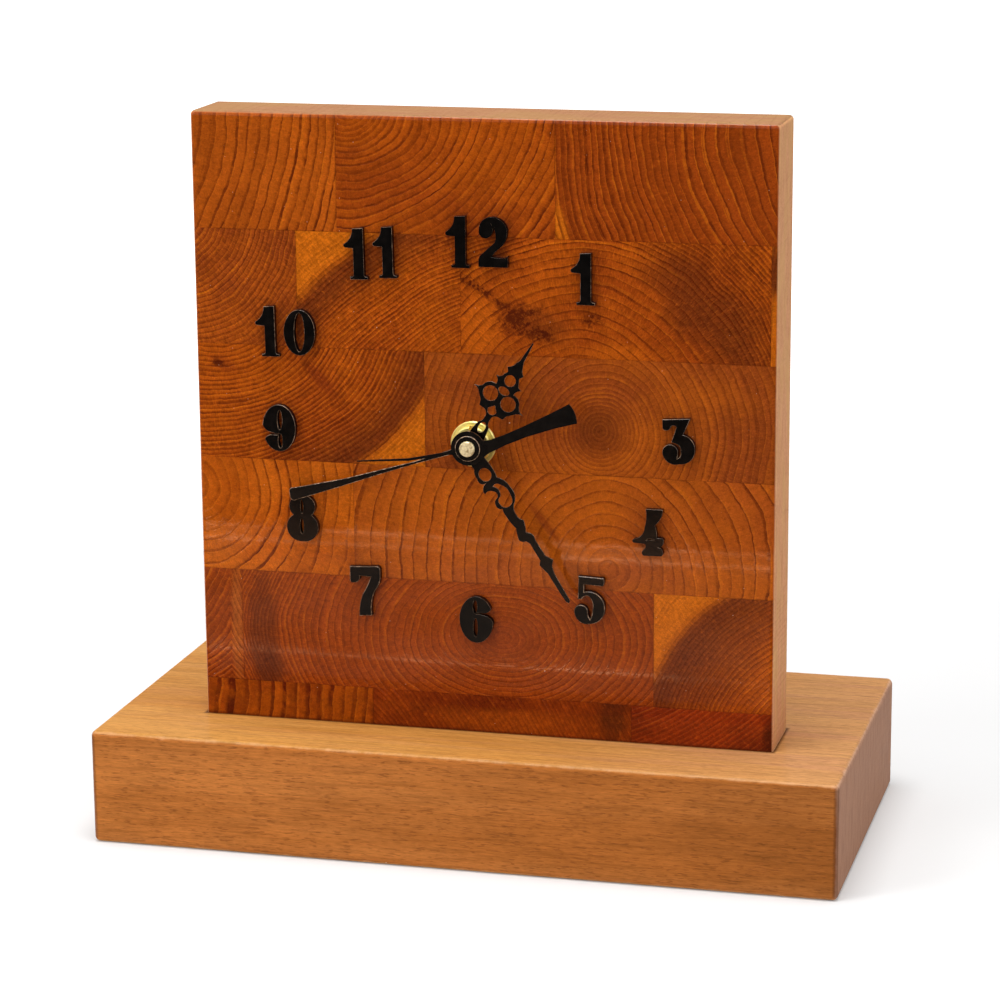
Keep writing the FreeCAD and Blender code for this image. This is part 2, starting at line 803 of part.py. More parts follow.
def dial_washer():
    """Flat brass washer against the wood."""
    washer = rod(hand_centre, washer_radius, -washer_thickness, 0)
    rim = [edge for edge in washer.Edges if edge.CenterOfMass.y < face_y - washer_thickness / 2]
    washer = washer.makeChamfer(washer_chamfer, rim)
    return washer.cut(rod(hand_centre, bush_radius + press_gap, -washer_thickness, 0))


def dial_nut():
    """Round brass nut with two spanner slots in its rim."""
    nut = rod(hand_centre, nut_radius, -nut_front, -washer_thickness)
    rim = [edge for edge in nut.Edges if edge.CenterOfMass.y < face_y - nut_front + nut_height / 2]
    nut = nut.makeChamfer(nut_chamfer, rim)
    half = nut_slot_width / 2
    slots = [
        brick(-half, half, side - nut_slot_depth, side + nut_slot_depth,
              -nut_front, -washer_thickness - nut_height / 3)
        for side in (-nut_radius, nut_radius)]
    bore = rod(hand_centre, bush_radius + press_gap, -nut_front, -washer_thickness)
    return without(nut, slots + [bore])


# ---------------------------------------------------------------- movement

motion_module = module_of(motion_spacing, cannon_pinion_teeth, motion_wheel_teeth)
hour_module = module_of(motion_spacing, motion_pinion_teeth, hour_wheel_teeth)
centre_module = module_of(train_spacing, third_pinion_teeth, centre_wheel_teeth)
third_module = module_of(train_spacing, seconds_pinion_teeth, third_wheel_teeth)
seconds_module = module_of(intermediate_spacing, intermediate_pinion_teeth, seconds_wheel_teeth)
rotor_module = module_of(rotor_spacing, rotor_pinion_teeth, intermediate_wheel_teeth)

# Each wheel below has one tooth at its phase; the wheel that meshes with it is set to suit.
cannon_phase = towards(hand_centre, motion_centre)
motion_phase = meshing_phase(
    hand_centre, cannon_phase, cannon_pinion_teeth, motion_centre, motion_wheel_teeth)
knob_phase = meshing_phase(
    motion_centre, motion_phase, motion_wheel_teeth, knob_centre, knob_pinion_teeth)
motion_pinion_phase = towards(motion_centre, hand_centre)
hour_phase = meshing_phase(
    motion_centre, motion_pinion_phase, motion_pinion_teeth, hand_centre, hour_wheel_teeth)
third_pinion_phase = towards(third_centre, hand_centre)
centre_phase = meshing_phase(
    third_centre, third_pinion_phase, third_pinion_teeth, hand_centre, centre_wheel_teeth)
seconds_pinion_phase = towards(hand_centre, third_centre)
third_phase = meshing_phase(
    hand_centre, seconds_pinion_phase, seconds_pinion_teeth, third_centre, third_wheel_teeth)
intermediate_pinion_phase = towards(intermediate_centre, hand_centre)
seconds_phase = meshing_phase(
    intermediate_centre, intermediate_pinion_phase, intermediate_pinion_teeth,
    hand_centre, seconds_wheel_teeth)
rotor_pinion_phase = towards(rotor_centre, intermediate_centre)
intermediate_phase = meshing_phase(
    rotor_centre, rotor_pinion_phase, rotor_pinion_teeth,
    intermediate_centre, intermediate_wheel_teeth)

# The board stands on the contact leg, its left edge against the minus contact
board_back = case_inside - board_rib_height
board_front = board_back - board_thickness
board_left = contact_thickness - inner_side
board_right = board_left + board_width
board_bottom = bay_wall_height + contact_thickness
board_top = board_bottom + board_height

# The cell lies in the corner of the bay under its wall, between the two contacts
battery_z = bay_top - battery_side_gap - battery_radius
battery_depth = plate_back + battery_side_gap + battery_radius
battery_plus_end = inner_side - contact_thickness - contact_gap
battery_minus_end = battery_plus_end - battery_length
contact_front = battery_depth - contact_width / 2
contact_back = battery_depth + contact_width / 2
contact_top = bay_wall_height + contact_rise
strip_back = case_inside - strip_back_gap

# Ends of the arbors in the plates
front_pivot = plate_back - pivot_depth
back_pivot = case_inside + pivot_depth
middle_pivot = middle_back - pivot_depth
disc_front = case_back + knob_case_gap


def hour_wheel():
    """Wheel and the outer tube that carries the hour hand."""
    front = -hour_tube_front
    back = hour_level + wheel_thickness
    wheel = toothed(hand_centre, hour_wheel_teeth, hour_module, hour_phase, hour_level, 0)
    barrel = rod(hand_centre, hour_tube_radius, front, back)
    return joined([wheel, barrel]).cut(rod(hand_centre, hour_tube_bore, front, back))


def cannon_pinion():
    """Pinion on the long tube that carries the minute hand and, loosely, the centre wheel."""
    front = -minute_tube_front
    back = middle_front - middle_plate_gap
    pinion = toothed(
        hand_centre, cannon_pinion_teeth, motion_module, cannon_phase, motion_level, 0)
    barrel = rod(hand_centre, minute_tube_radius, front, back)
    return joined([pinion, barrel]).cut(rod(hand_centre, minute_tube_bore, front, back))


def centre_wheel():
    """Wheel that drives the cannon tube through a slipping fit."""
    bore = minute_tube_radius + running_gap
    hub_front = centre_level - wheel_gap / 2
    hub_back = middle_front - middle_plate_gap
    wheel = toothed(
        hand_centre, centre_wheel_teeth, centre_module, centre_phase, centre_level, bore)
    hub = tube(hand_centre, wheel_hub_radius, bore, hub_front, hub_back)
    return joined([wheel, hub])


def motion_wheel():
    """Minute-works wheel and pinion, turning on a post of the front plate."""
    bore = motion_post_radius + running_gap
    pinion = toothed(
        motion_centre, motion_pinion_teeth, hour_module, motion_pinion_phase, hour_level, bore)
    wheel = toothed(
        motion_centre, motion_wheel_teeth, motion_module, motion_phase, motion_level, bore)
    pinion_root = hour_module * (motion_pinion_teeth / 2 - dedendum)
    neck = tube(motion_centre, pinion_root, bore, hour_level, motion_level + wheel_thickness)
    return joined([pinion, neck, wheel])


def third_wheel():
    """Pinion in front of the middle plate, wheel behind it, on one arbor."""
    pinion = toothed(
        third_centre, third_pinion_teeth, centre_module, third_pinion_phase, centre_level, 0)
    wheel = toothed(third_centre, third_wheel_teeth, third_module, third_phase, third_level, 0)
    arbor = rod(third_centre, arbor_radius, front_pivot, back_pivot)
    return joined([pinion, wheel, arbor])


def seconds_wheel():
    """Wheel and pinion on the long arbor that carries the second hand."""
    pinion = toothed(
        hand_centre, seconds_pinion_teeth, third_module, seconds_pinion_phase, third_level, 0)
    wheel = toothed(
        hand_centre, seconds_wheel_teeth, seconds_module, seconds_phase, seconds_level, 0)
    pinion_root = third_module * (seconds_pinion_teeth / 2 - dedendum)
    neck = rod(hand_centre, pinion_root, third_level, seconds_level)
    arbor = rod(hand_centre, seconds_arbor_radius, -cap_seat, back_pivot)
    return joined([pinion, neck, wheel, arbor])


def intermediate_wheel():
    """Reduction between the rotor and the seconds wheel."""
    pinion = toothed(
        intermediate_centre, intermediate_pinion_teeth, seconds_module,
        intermediate_pinion_phase, seconds_level, 0)
    wheel = toothed(
        intermediate_centre, intermediate_wheel_teeth, rotor_module,
        intermediate_phase, intermediate_level, 0)
    pinion_root = seconds_module * (intermediate_pinion_teeth / 2 - dedendum)
    neck = rod(intermediate_centre, pinion_root, seconds_level, intermediate_level)
    arbor = rod(intermediate_centre, fine_arbor_radius, middle_pivot, back_pivot)
    return joined([pinion, neck, wheel, arbor])


def rotor():
    """Disc magnet and pinion of the step motor."""
    magnet_front = middle_back + wheel_gap
    pinion = toothed(
        rotor_centre, rotor_pinion_teeth, rotor_module, rotor_pinion_phase,
        intermediate_level, 0)
    magnet = rod(rotor_centre, magnet_radius, magnet_front, magnet_front + magnet_thickness)
    arbor = rod(rotor_centre, fine_arbor_radius, middle_pivot, back_pivot)
    return joined([magnet, pinion, arbor])


stator_front = middle_back + stator_lift
stator_back = stator_front + stator_thickness
core_back = stator_back + coil_core_thickness
stator_post_places = [
    (stator_left + stator_arm_width / 2, stator_top - stator_arm_width / 2),
    (stator_right - stator_arm_width / 2, stator_top - stator_arm_width / 2),
    (stator_right - stator_arm_width / 2, stator_bottom + stator_arm_width / 2),
]


def stator():
    """Soft-iron plate round the rotor with two arms up to the coil."""
    plate = brick(stator_left, stator_right, stator_bottom, stator_body_top,
                  stator_front, stator_back)
    arms = [
        brick(stator_left, stator_left + stator_arm_width, stator_bottom, stator_top,
              stator_front, stator_back),
        brick(stator_right - stator_arm_width, stator_right, stator_bottom, stator_top,
              stator_front, stator_back)]
    hole = rod(rotor_centre, magnet_radius + stator_gap, stator_front, stator_back)
    return joined([plate] + arms).cut(hole)


def coil_core():
    """Iron bar across the two arms, through the coil."""
    return brick(stator_left, stator_right, stator_top - stator_arm_width, stator_top,
                 stator_back, core_back)


def coil():
    """Wound bobbin on the core."""
    middle = stator_top - stator_arm_width / 2
    depth = (stator_back + core_back) / 2
    left = stator_left + stator_arm_width + coil_end_gap
    right = stator_right - stator_arm_width - coil_end_gap
    winding = brick(left, right, middle - coil_half_width, middle + coil_half_width,
                    depth - coil_half_height, depth + coil_half_height)
    along = [edge for edge in winding.Edges
             if abs(edge.Vertexes[0].X - edge.Vertexes[1].X) > 1e-6]
    winding = winding.makeFillet(coil_half_height / 2, along)
    slot = stator_arm_width / 2 + press_gap
    return winding.cut(brick(left, right, middle - slot, middle + slot,
                             stator_back - press_gap, core_back + press_gap))


def front_plate():
    """Front of the movement with the bush hole, the motion post and pivot holes."""
    plate = brick(-half_case, half_case, -half_case, half_case, case_front, plate_back)
    plate = plate.makeFillet(case_corner_round, depth_edges(plate))
    post = rod(motion_centre, motion_post_radius, plate_back, motion_level + wheel_thickness)
    holes = [
        rod(hand_centre, bush_radius + press_gap, case_front, plate_back),
        rod(third_centre, arbor_radius + running_gap, front_pivot - running_gap, plate_back),
        rod(knob_centre, knob_shaft_radius + running_gap, front_pivot - running_gap, plate_back)]
    return without(joined([plate, post]), holes)


def middle_plate():
    """Plate between the motion work and the train, with posts under the stator."""
    side = inner_side - contact_thickness - plate_side_gap
    plate = brick(-side, side, bay_wall_height + plate_side_gap, inner_side - plate_side_gap,
                  middle_front, middle_back)
    posts = [rod(at, stator_post_radius, middle_back, stator_front) for at in stator_post_places]
    pinion_tip = centre_module * (third_pinion_teeth / 2 + addendum)
    knob_tip = knob_module * (knob_pinion_teeth / 2 + addendum)
    hole_front = middle_pivot - running_gap
    holes = [
        rod(hand_centre, seconds_arbor_radius + running_gap, middle_front, middle_back),
        rod(third_centre, pinion_tip + pinion_hole_gap, middle_front, middle_back),
        rod(knob_centre, knob_tip + pinion_hole_gap, middle_front, middle_back),
        rod(intermediate_centre, fine_arbor_radius + running_gap, hole_front, middle_back),
        rod(rotor_centre, fine_arbor_radius + running_gap, hole_front, middle_back)]
    return without(joined([plate] + posts), holes)


def movement_case():
    """Rear shell: train chamber above, open battery bay below, pivot holes in its back."""
    shell = brick(-half_case, half_case, -half_case, half_case, plate_back, case_back)
    shell = shell.makeFillet(case_corner_round, depth_edges(shell))
    chamber = brick(-inner_side, inner_side, bay_wall_height, inner_side, plate_back, case_inside)
    bay = brick(-inner_side, inner_side, -inner_side, bay_top, plate_back, case_back)
    props = []
    for z in (board_bottom + board_rib_width, board_top - board_rib_width):
        props.append(brick(board_left, board_right, z - board_rib_width / 2,
                           z + board_rib_width / 2, board_back, case_inside))
    for left, right in (against_wall(-1, ledge_width), against_wall(1, ledge_width)):
        for z in (ledge_low, ledge_high):
            props.append(brick(left, right, z, z + ledge_height,
                               middle_back, board_front - plate_side_gap))
    holes = [rod(at, radius + running_gap, case_inside, back_pivot + running_gap)
             for at, radius in (
                 (hand_centre, seconds_arbor_radius), (third_centre, arbor_radius),
                 (intermediate_centre, fine_arbor_radius), (rotor_centre, fine_arbor_radius))]
    holes.append(rod(knob_centre, knob_shaft_radius + running_gap, case_inside, case_back))
    shell = joined([without(shell, [chamber, bay])] + props)
    return without(shell, holes + contact_slots())


# ---------------------------------------------------------------- board, battery, knob

def against_wall(side, thickness):
    """Left and right of something this thick on an end wall of the case, side -1 or 1."""
    if side > 0:
        return inner_side - thickness, inner_side
    return -inner_side, thickness - inner_side


def circuit_board():
    """Board with the chip under its drop of resin."""
    board = brick(board_left, board_right, board_bottom, board_top, board_front, board_back)
    chip_x = (board_left + board_right) / 2
    drop = rod((chip_x, chip_z), chip_radius, board_front - chip_height, board_front)
    rim = [edge for edge in drop.Edges
           if edge.CenterOfMass.y < face_y + board_front - chip_height / 2]
    return joined([board, drop.makeFillet(chip_round, rim)])


def quartz_crystal():
    """Small metal can lying on the board."""
    x = board_left + crystal_inset
    depth = board_front - crystal_radius - solder_gap
    can = Part.makeCylinder(
        crystal_radius, crystal_length, place(x, depth, crystal_z), Vector(0, 0, 1))
    return can.makeFillet(crystal_round, round_edges(can))


def battery():
    """Single AA cell lying across the bay, plus end to the right."""
    can_length = battery_length - battery_nub_length
    along = Vector(1, 0, 0)
    can = Part.makeCylinder(
        battery_radius, can_length, place(battery_minus_end, battery_depth, battery_z), along)
    can = can.makeFillet(battery_edge_round, round_edges(can))
    nub = Part.makeCylinder(
        battery_nub_radius, battery_nub_length,
        place(battery_minus_end + can_length, battery_depth, battery_z), along)
    return joined([can, nub])


def contact_slots():
    """Slots in the bay wall for the two contact plates."""
    slots = []
    for side in (-1, 1):
        left, right = against_wall(side, contact_thickness + press_gap)
        slots.append(brick(left, right, bay_top, bay_wall_height,
                           contact_front - press_gap, contact_back + press_gap))
    return slots


def contact_plate(side):
    """Plate on an end wall, from beside the battery up through the bay wall."""
    left, right = against_wall(side, contact_thickness)
    return brick(left, right, battery_z - contact_width / 2, contact_top,
                 contact_front, contact_back)


def board_leg(side):
    """Upper part of a contact plate, carried back to the circuit board."""
    left, right = against_wall(side, contact_thickness)
    return brick(left, right, bay_wall_height, contact_top, contact_back, strip_back)


def positive_contact():
    """Plus plate, with a long strip on the bay wall that runs under the circuit board."""
    strip = brick(inner_side - strip_length, inner_side, bay_wall_height, board_bottom,
                  strip_back - strip_width, strip_back)
    return joined([contact_plate(1), board_leg(1), strip])


def negative_contact():
    """Minus plate with a sprung leaf that presses on the cell."""
    root = contact_thickness - inner_side
    tip = battery_minus_end - contact_gap
    half = contact_width / 2
    leaf = outline(
        (root, half), (tip, contact_thickness / 2), (tip, -contact_thickness / 2),
        (root, -half), (root, spring_leaf_root - half), (tip - contact_thickness, 0),
        (root, half - spring_leaf_root))
    blade = leaf.extrude(Vector(0, spring_leaf_width, 0))
    blade.translate(place(0, battery_depth - spring_leaf_width / 2, battery_z))
    return joined([contact_plate(-1), board_leg(-1), blade])


def setting_arbor():
    """Pinion and shaft that turn the motion work from the back."""
    pinion = toothed(
        knob_centre, knob_pinion_teeth, knob_module, knob_phase, motion_level, 0)
    shaft = rod(knob_centre, knob_shaft_radius, front_pivot, disc_front + knob_shaft_depth)
    return joined([pinion, shaft])


def setting_knob():
    """Ribbed finger disc pressed on the back end of the setting arbor."""
    disc = rod(knob_centre, knob_radius, disc_front, disc_front + knob_thickness)
    cuts = [rod(knob_centre, knob_shaft_radius + press_gap,
                disc_front, disc_front + knob_shaft_depth)]
    for grip in range(knob_grips):
        at = beyond(knob_centre, knob_radius, grip * 360 / knob_grips)
        cuts.append(rod(at, knob_grip_radius, disc_front, disc_front + knob_thickness))
    return without(disc, cuts)


# ---------------------------------------------------------------- write every node

save("base_board", base_board())
save("base_screws", *screw(0))
for course, index, solid in panel_blocks():
    save("course_%d_block_%d" % (course, index), solid)
for hour in numeral_places:
    save("numeral_%d" % hour, *numeral(hour))

save("threaded_bush", threaded_bush())
save("rubber_washer", tube(
    hand_centre, rubber_washer_radius, bush_radius + press_gap, web_thickness, case_front))
save("dial_washer", dial_washer())
save("dial_nut", dial_nut())

save("pointer_hand", pointer_hand())
save("hour_hand", hour_hand())
save("minute_hand", minute_hand())
save("second_hand", second_hand())
save("second_hand_cap", second_hand_cap())

save("front_plate", front_plate())
save("middle_plate", middle_plate())
save("movement_case", movement_case())
save("hour_wheel", hour_wheel())
save("cannon_pinion", cannon_pinion())
save("motion_wheel", motion_wheel())
save("centre_wheel", centre_wheel())
save("third_wheel", third_wheel())
save("seconds_wheel", seconds_wheel())
save("intermediate_wheel", intermediate_wheel())
save("rotor", rotor())
save("stator", stator())
save("coil_core", coil_core())
save("coil", coil())
save("circuit_board", circuit_board())
save("quartz_crystal", quartz_crystal())
save("battery", battery())
save("positive_contact", positive_contact())
save("negative_contact", negative_contact())
save("setting_arbor", setting_arbor())
save("setting_knob", setting_knob())
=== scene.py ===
"""Looks of a wooden desk clock: end-grain blocks on a solid board, with black numerals and hands."""

import json
import math

import bmesh
import bpy
from mathutils import Matrix, Vector


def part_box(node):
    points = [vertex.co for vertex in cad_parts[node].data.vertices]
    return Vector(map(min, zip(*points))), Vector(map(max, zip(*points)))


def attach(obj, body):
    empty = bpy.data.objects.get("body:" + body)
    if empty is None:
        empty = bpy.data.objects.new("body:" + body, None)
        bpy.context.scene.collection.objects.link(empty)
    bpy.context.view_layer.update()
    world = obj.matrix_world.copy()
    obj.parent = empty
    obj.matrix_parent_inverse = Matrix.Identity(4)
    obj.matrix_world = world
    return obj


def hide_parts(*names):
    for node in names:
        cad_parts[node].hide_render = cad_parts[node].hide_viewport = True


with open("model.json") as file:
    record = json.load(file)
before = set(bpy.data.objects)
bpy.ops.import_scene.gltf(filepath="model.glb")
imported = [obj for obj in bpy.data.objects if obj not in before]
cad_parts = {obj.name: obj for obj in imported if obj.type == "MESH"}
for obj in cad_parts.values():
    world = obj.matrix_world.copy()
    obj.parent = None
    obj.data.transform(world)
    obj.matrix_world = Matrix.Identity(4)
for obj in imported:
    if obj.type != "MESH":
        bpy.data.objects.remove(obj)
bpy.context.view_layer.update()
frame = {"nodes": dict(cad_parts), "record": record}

MM = 0.001

# The panel and the board, in millimetres, as the joiner would mark them out.
PANEL_LEFT, PANEL_RIGHT = -97.5, 102.5
PANEL_FACE, PANEL_BACK = -33.0, -6.0
PANEL_FOOT, PANEL_TOP = 40.0, 250.5
BOARD_HALF_LENGTH, BOARD_HALF_DEPTH, BOARD_THICKNESS = 129.5, 63.0, 40.0
DIAL_X, DIAL_Z = -0.1, 140.9

# Widths of the rounded front rims, in millimetres.
NUMERAL_RIM = 0.6
HAND_RIM = 0.18


def tone(red, green, blue):
    """A colour named by its 0 to 255 screen values, as the shader wants it."""
    def straight(part):
        part /= 255
        return part / 12.92 if part <= 0.04045 else ((part + 0.055) / 1.055) ** 2.4
    return (straight(red), straight(green), straight(blue), 1.0)


def spread(tree, value, start, end, low, high, kind="LINEAR"):
    """From low, where the value is start, to high, where it is end."""
    made = tree.nodes.new("ShaderNodeMapRange")
    made.interpolation_type = kind
    for name, number in zip(("From Min", "From Max", "To Min", "To Max"), (start, end, low, high)):
        made.inputs[name].default_value = number
    tree.links.new(value, made.inputs["Value"])
    return made.outputs["Result"]


class Recipe:
    """A node material while it is put together. Each short call adds a node and hands back its output."""

    def __init__(self, name, roughness=0.5, metallic=0.0, specular=0.5):
        self.material = bpy.data.materials.new(name)
        self.material.use_nodes = True
        self.tree = self.material.node_tree
        self.shader = self.tree.nodes["Principled BSDF"]
        self.shader.inputs["Roughness"].default_value = roughness
        self.shader.inputs["Metallic"].default_value = metallic
        self.shader.inputs["Specular IOR Level"].default_value = specular
        self.place = self.node("ShaderNodeTexCoord").outputs["Object"]
        split = self.node("ShaderNodeSeparateXYZ")
        self.feed(split.inputs[0], self.place)
        self.x = self.math("MULTIPLY", split.outputs[0], 1000.0)
        self.y = self.math("MULTIPLY", split.outputs[1], 1000.0)
        self.z = self.math("MULTIPLY", split.outputs[2], 1000.0)

    def node(self, kind, **settings):
        made = self.tree.nodes.new(kind)
        for key, value in settings.items():
            setattr(made, key, value)
        return made

    def feed(self, socket, value):
        """Joins a socket to another node, or writes a plain value on it."""
        if isinstance(value, bpy.types.NodeSocket):
            self.tree.links.new(value, socket)
        else:
            socket.default_value = value

    def math(self, operation, *values):
        made = self.node("ShaderNodeMath", operation=operation)
        for socket, value in zip(made.inputs, values):
            self.feed(socket, value)
        return made.outputs[0]

    def chain(self, operation, first, *others):
        """The operation on the first two values, then on its result and the third, and so on."""
        total = first
        for value in others:
            total = self.math(operation, total, value)
        return total

    def plus(self, *values):
        return self.chain("ADD", *values)

    def times(self, *values):
        return self.chain("MULTIPLY", *values)

    def least(self, *values):
        return self.chain("MINIMUM", *values)

    def most(self, *values):
        return self.chain("MAXIMUM", *values)

    def less(self, first, second):
        return self.math("SUBTRACT", first, second)

    def size(self, value):
        """The value without its sign."""
        return self.math("ABSOLUTE", value)

    def distance(self, first, second):
        """How far a point lies from the middle that the two values are counted from."""
        return self.math("SQRT", self.plus(self.times(first, first), self.times(second, second)))

    def rise(self, value, start, end):
        """0 below start, 1 above end and a smooth rise between; start above end gives a fall."""
        if start < end:
            return spread(self.tree, value, start, end, 0.0, 1.0, "SMOOTHSTEP")
        return spread(self.tree, value, end, start, 1.0, 0.0, "SMOOTHSTEP")

    def span(self, share, low, high):
        """Low at share 0, high at share 1 and a straight line between."""
        return self.plus(self.times(share, high - low), low)

    def sway(self, noise, reach):
        """Noise round 0, half the reach each way."""
        return self.times(self.less(noise, 0.5), reach)

    def point(self, x=0.0, y=0.0, z=0.0):
        made = self.node("ShaderNodeCombineXYZ")
        for socket, value in zip(made.inputs, (x, y, z)):
            self.feed(socket, value)
        return made.outputs[0]

    def clouds(self, size, stretch=(1.0, 1.0, 1.0), detail=3.0, rough=0.5, at=None, shift=0.0):
        """Soft noise, 0 to 1, with blotches of that size in mm, longer along an axis by its stretch."""
        moved = self.node("ShaderNodeVectorMath", operation="MULTIPLY_ADD")
        self.feed(moved.inputs[0], self.place if at is None else at)
        unit = 1000.0 if at is None else 1.0
        moved.inputs[1].default_value = [unit / (size * s) for s in stretch]
        moved.inputs[2].default_value = (shift, shift * 1.7, shift * 2.3)
        made = self.node("ShaderNodeTexNoise", noise_dimensions="3D")
        self.feed(made.inputs["Vector"], moved.outputs[0])
        made.inputs["Scale"].default_value = 1.0
        made.inputs["Detail"].default_value = detail
        made.inputs["Roughness"].default_value = rough
        return made.outputs[0]

    def unevenness(self, along):
        """Soft noise, 0 to 1, along one value."""
        made = self.node("ShaderNodeTexNoise", noise_dimensions="1D")
        self.feed(made.inputs["W"], along)
        made.inputs["Detail"].default_value = 2.0
        return made.outputs[0]

    def lot(self, number):
        """A value 0 to 1 that is drawn once for each number."""
        made = self.node("ShaderNodeTexWhiteNoise", noise_dimensions="1D")
        self.feed(made.inputs["W"], number)
        return made.outputs["Value"]

    def specks(self, cell, radius, share, shift=0.0):
        """1 on small round specks: one in each cell of that many mm at most, in that share of them."""
        moved = self.node("ShaderNodeVectorMath", operation="ADD")
        self.feed(moved.inputs[0], self.place)
        moved.inputs[1].default_value = (shift, shift, shift)
        made = self.node("ShaderNodeTexVoronoi", voronoi_dimensions="3D", feature="F1")
        self.feed(made.inputs["Vector"], moved.outputs[0])
        made.inputs["Scale"].default_value = 1000.0 / cell
        near = self.rise(made.outputs["Distance"], radius / cell, 0.4 * radius / cell)
        chosen = self.node("ShaderNodeSeparateXYZ")
        self.feed(chosen.inputs[0], made.outputs["Color"])
        return self.times(near, self.math("LESS_THAN", chosen.outputs[0], share))

    def blend(self, share, first, second):
        """First colour at share 0, second at share 1."""
        made = self.node("ShaderNodeMix", data_type="RGBA")
        self.feed(made.inputs[0], share)
        self.feed(made.inputs[6], first)
        self.feed(made.inputs[7], second)
        return made.outputs[2]

    def bright(self, colour, factor):
        """The colour made lighter or darker by a factor near 1."""
        made = self.node("ShaderNodeVectorMath", operation="SCALE")
        self.feed(made.inputs[0], colour)
        self.feed(made.inputs["Scale"], factor)
        return made.outputs[0]

    def mottle(self, colour, noise, reach, level=1.0):
        """The colour made lighter and darker by the noise, round a level."""
        return self.bright(colour, self.plus(self.sway(noise, reach), level))

    def facing(self):
        """How much the surface faces along x, y and z, each 0 to 1."""
        normal = self.node("ShaderNodeNewGeometry").outputs["True Normal"]
        split = self.node("ShaderNodeSeparateXYZ")
        self.feed(split.inputs[0], normal)
        return [self.size(part) for part in split.outputs]

    def colour(self, value):
        self.feed(self.shader.inputs["Base Color"], value)

    def roughness(self, value):
        self.feed(self.shader.inputs["Roughness"], value)

    def relief(self, height, depth, side="Normal"):
        """Surface relief: height 0 to 1 stands for that many mm. The varnish has its own relief,
        on the side called "Coat Normal"."""
        made = self.node("ShaderNodeBump")
        made.inputs["Strength"].default_value = 1.0
        made.inputs["Distance"].default_value = depth * MM
        self.feed(made.inputs["Height"], height)
        self.feed(self.shader.inputs[side], made.outputs[0])

    def varnish(self, weight, roughness):
        self.feed(self.shader.inputs["Coat Weight"], weight)
        self.shader.inputs["Coat Roughness"].default_value = roughness


# Tones of the panel's wood under its varnish, and of its bare edge. The sapwood tone also paints highlights
# and glints, the rim tone is partly a painted highlight, and the dust tone also paints small glints.
SAPWOOD_AND_HIGHLIGHT = tone(196, 100, 16)
BRIGHT_ORANGE = tone(184, 86, 14)
ORANGE = tone(168, 75, 12)
RUSSET = tone(146, 60, 12)
BROWN = tone(128, 52, 16)
DARK_BROWN = tone(100, 42, 14)
RING_DARK = tone(96, 33, 5)
RING_SOFT = tone(122, 46, 12)
KNOT_DARK = tone(76, 24, 6)
BARE_WOOD = tone(222, 164, 122)
BARE_WOOD_DARK = tone(196, 136, 94)
BARE_WOOD_YELLOW = tone(212, 164, 108)
BARE_WOOD_LINE = tone(160, 104, 70)
WORN_AND_HIGHLIT_RIM = tone(214, 140, 92)
DUST_AND_GLINT = tone(240, 214, 180)


def ring_number(r, radius, near, near_gap, far, far_gap):
    """The number of rings inside a radius, and the rings per mm there. The rings are near_gap mm
    apart inside the radius near and far_gap mm apart beyond far. With turn = e to the power of
    (radius - middle) / soft, the rings per mm are
    1 / near_gap + (1 / far_gap - 1 / near_gap) * turn / (1 + turn), which add up to
    radius / near_gap + (1 / far_gap - 1 / near_gap) * soft * log(1 + turn)."""
    middle, soft = (near + far) / 2, (far - near) / 5
    change = 1 / far_gap - 1 / near_gap
    turn = r.math("EXPONENT", r.times(r.less(radius, middle), 1 / soft))
    beyond = r.plus(turn, 1.0)
    number = r.plus(r.times(radius, 1 / near_gap),
                    r.times(r.math("LOGARITHM", beyond, math.e), change * soft))
    per_mm = r.plus(r.times(r.math("DIVIDE", turn, beyond), change), 1 / near_gap)
    return number, per_mm


class Growth:
    """The growth rings of one block, kept as the node outputs that its colours and relief read.
    line is 1 on the dark late wood of a ring, pale is 1 on the first wood of the next one, where
    a painted highlight runs along the ridge, drift is how far a ring has darkened, and each is a
    value drawn for the whole ring."""

    def __init__(self, r, pith, rings, line_width, wander, flat, seed, fold):
        # The rings wander with the tree's growth and are ragged close up.
        wide = r.clouds(46, detail=1.0, shift=seed)
        self.small = r.clouds(11, detail=2.0, shift=seed + 7)
        self.ragged = r.clouds(1.6, detail=1.0, shift=seed + 3)
        x = r.x
        if fold is not None:
            fold_steepness = 2.6
            x = r.less(r.x, r.times(r.most(r.less(r.x, fold), 0.0), fold_steepness))
        across = r.less(x, pith[0])
        upward = r.times(r.less(r.z, pith[1]), flat)
        shift = r.plus(r.sway(wide, 4 * wander), r.sway(self.small, 0.8 * wander),
                       r.sway(self.ragged, 0.5))
        self.radius = r.plus(r.distance(across, upward), shift)
        self.angle = r.math("ARCTAN2", upward, across)
        number, per_mm = ring_number(r, self.radius, *rings)
        number = r.plus(number, seed)
        number = r.plus(number, r.times(r.unevenness(r.times(number, 0.37)), 0.6))
        within = r.math("FRACT", number)
        since = r.math("DIVIDE", within, per_mm)
        until = r.math("DIVIDE", r.less(1.0, within), per_mm)
        self.each = r.lot(r.plus(r.math("FLOOR", number), seed * 3 + 11))

        # Each ring darkens slowly to its late wood, ends sharply, and the next one starts pale, with a
        # painted highlight along that ridge.
        self.patchy = r.clouds(15, detail=3.0, rough=0.6, shift=seed + 21)
        broken = r.clouds(5.0, detail=2.0, shift=seed + 61)
        core = r.times(r.rise(until, line_width * 2.1, line_width * 0.6), r.rise(until, 0.0, 0.14),
                       r.span(r.rise(self.radius, 2.0, 32.0), 0.25, 1.0))
        self.line = r.times(core, r.span(self.each, 0.5, 1.0), r.plus(self.patchy, 0.35),
                            r.span(r.rise(broken, 0.36, 0.54), 0.4, 1.0))
        self.pale = r.times(r.rise(since, 0.0, 0.10), r.rise(since, 0.62, 0.22),
                            r.span(self.each, 0.3, 1.0),
                            r.span(r.rise(broken, 0.56, 0.40), 0.4, 1.0))
        self.drift = r.times(r.rise(within, 0.2, 0.98), r.span(self.each, 0.18, 0.53))


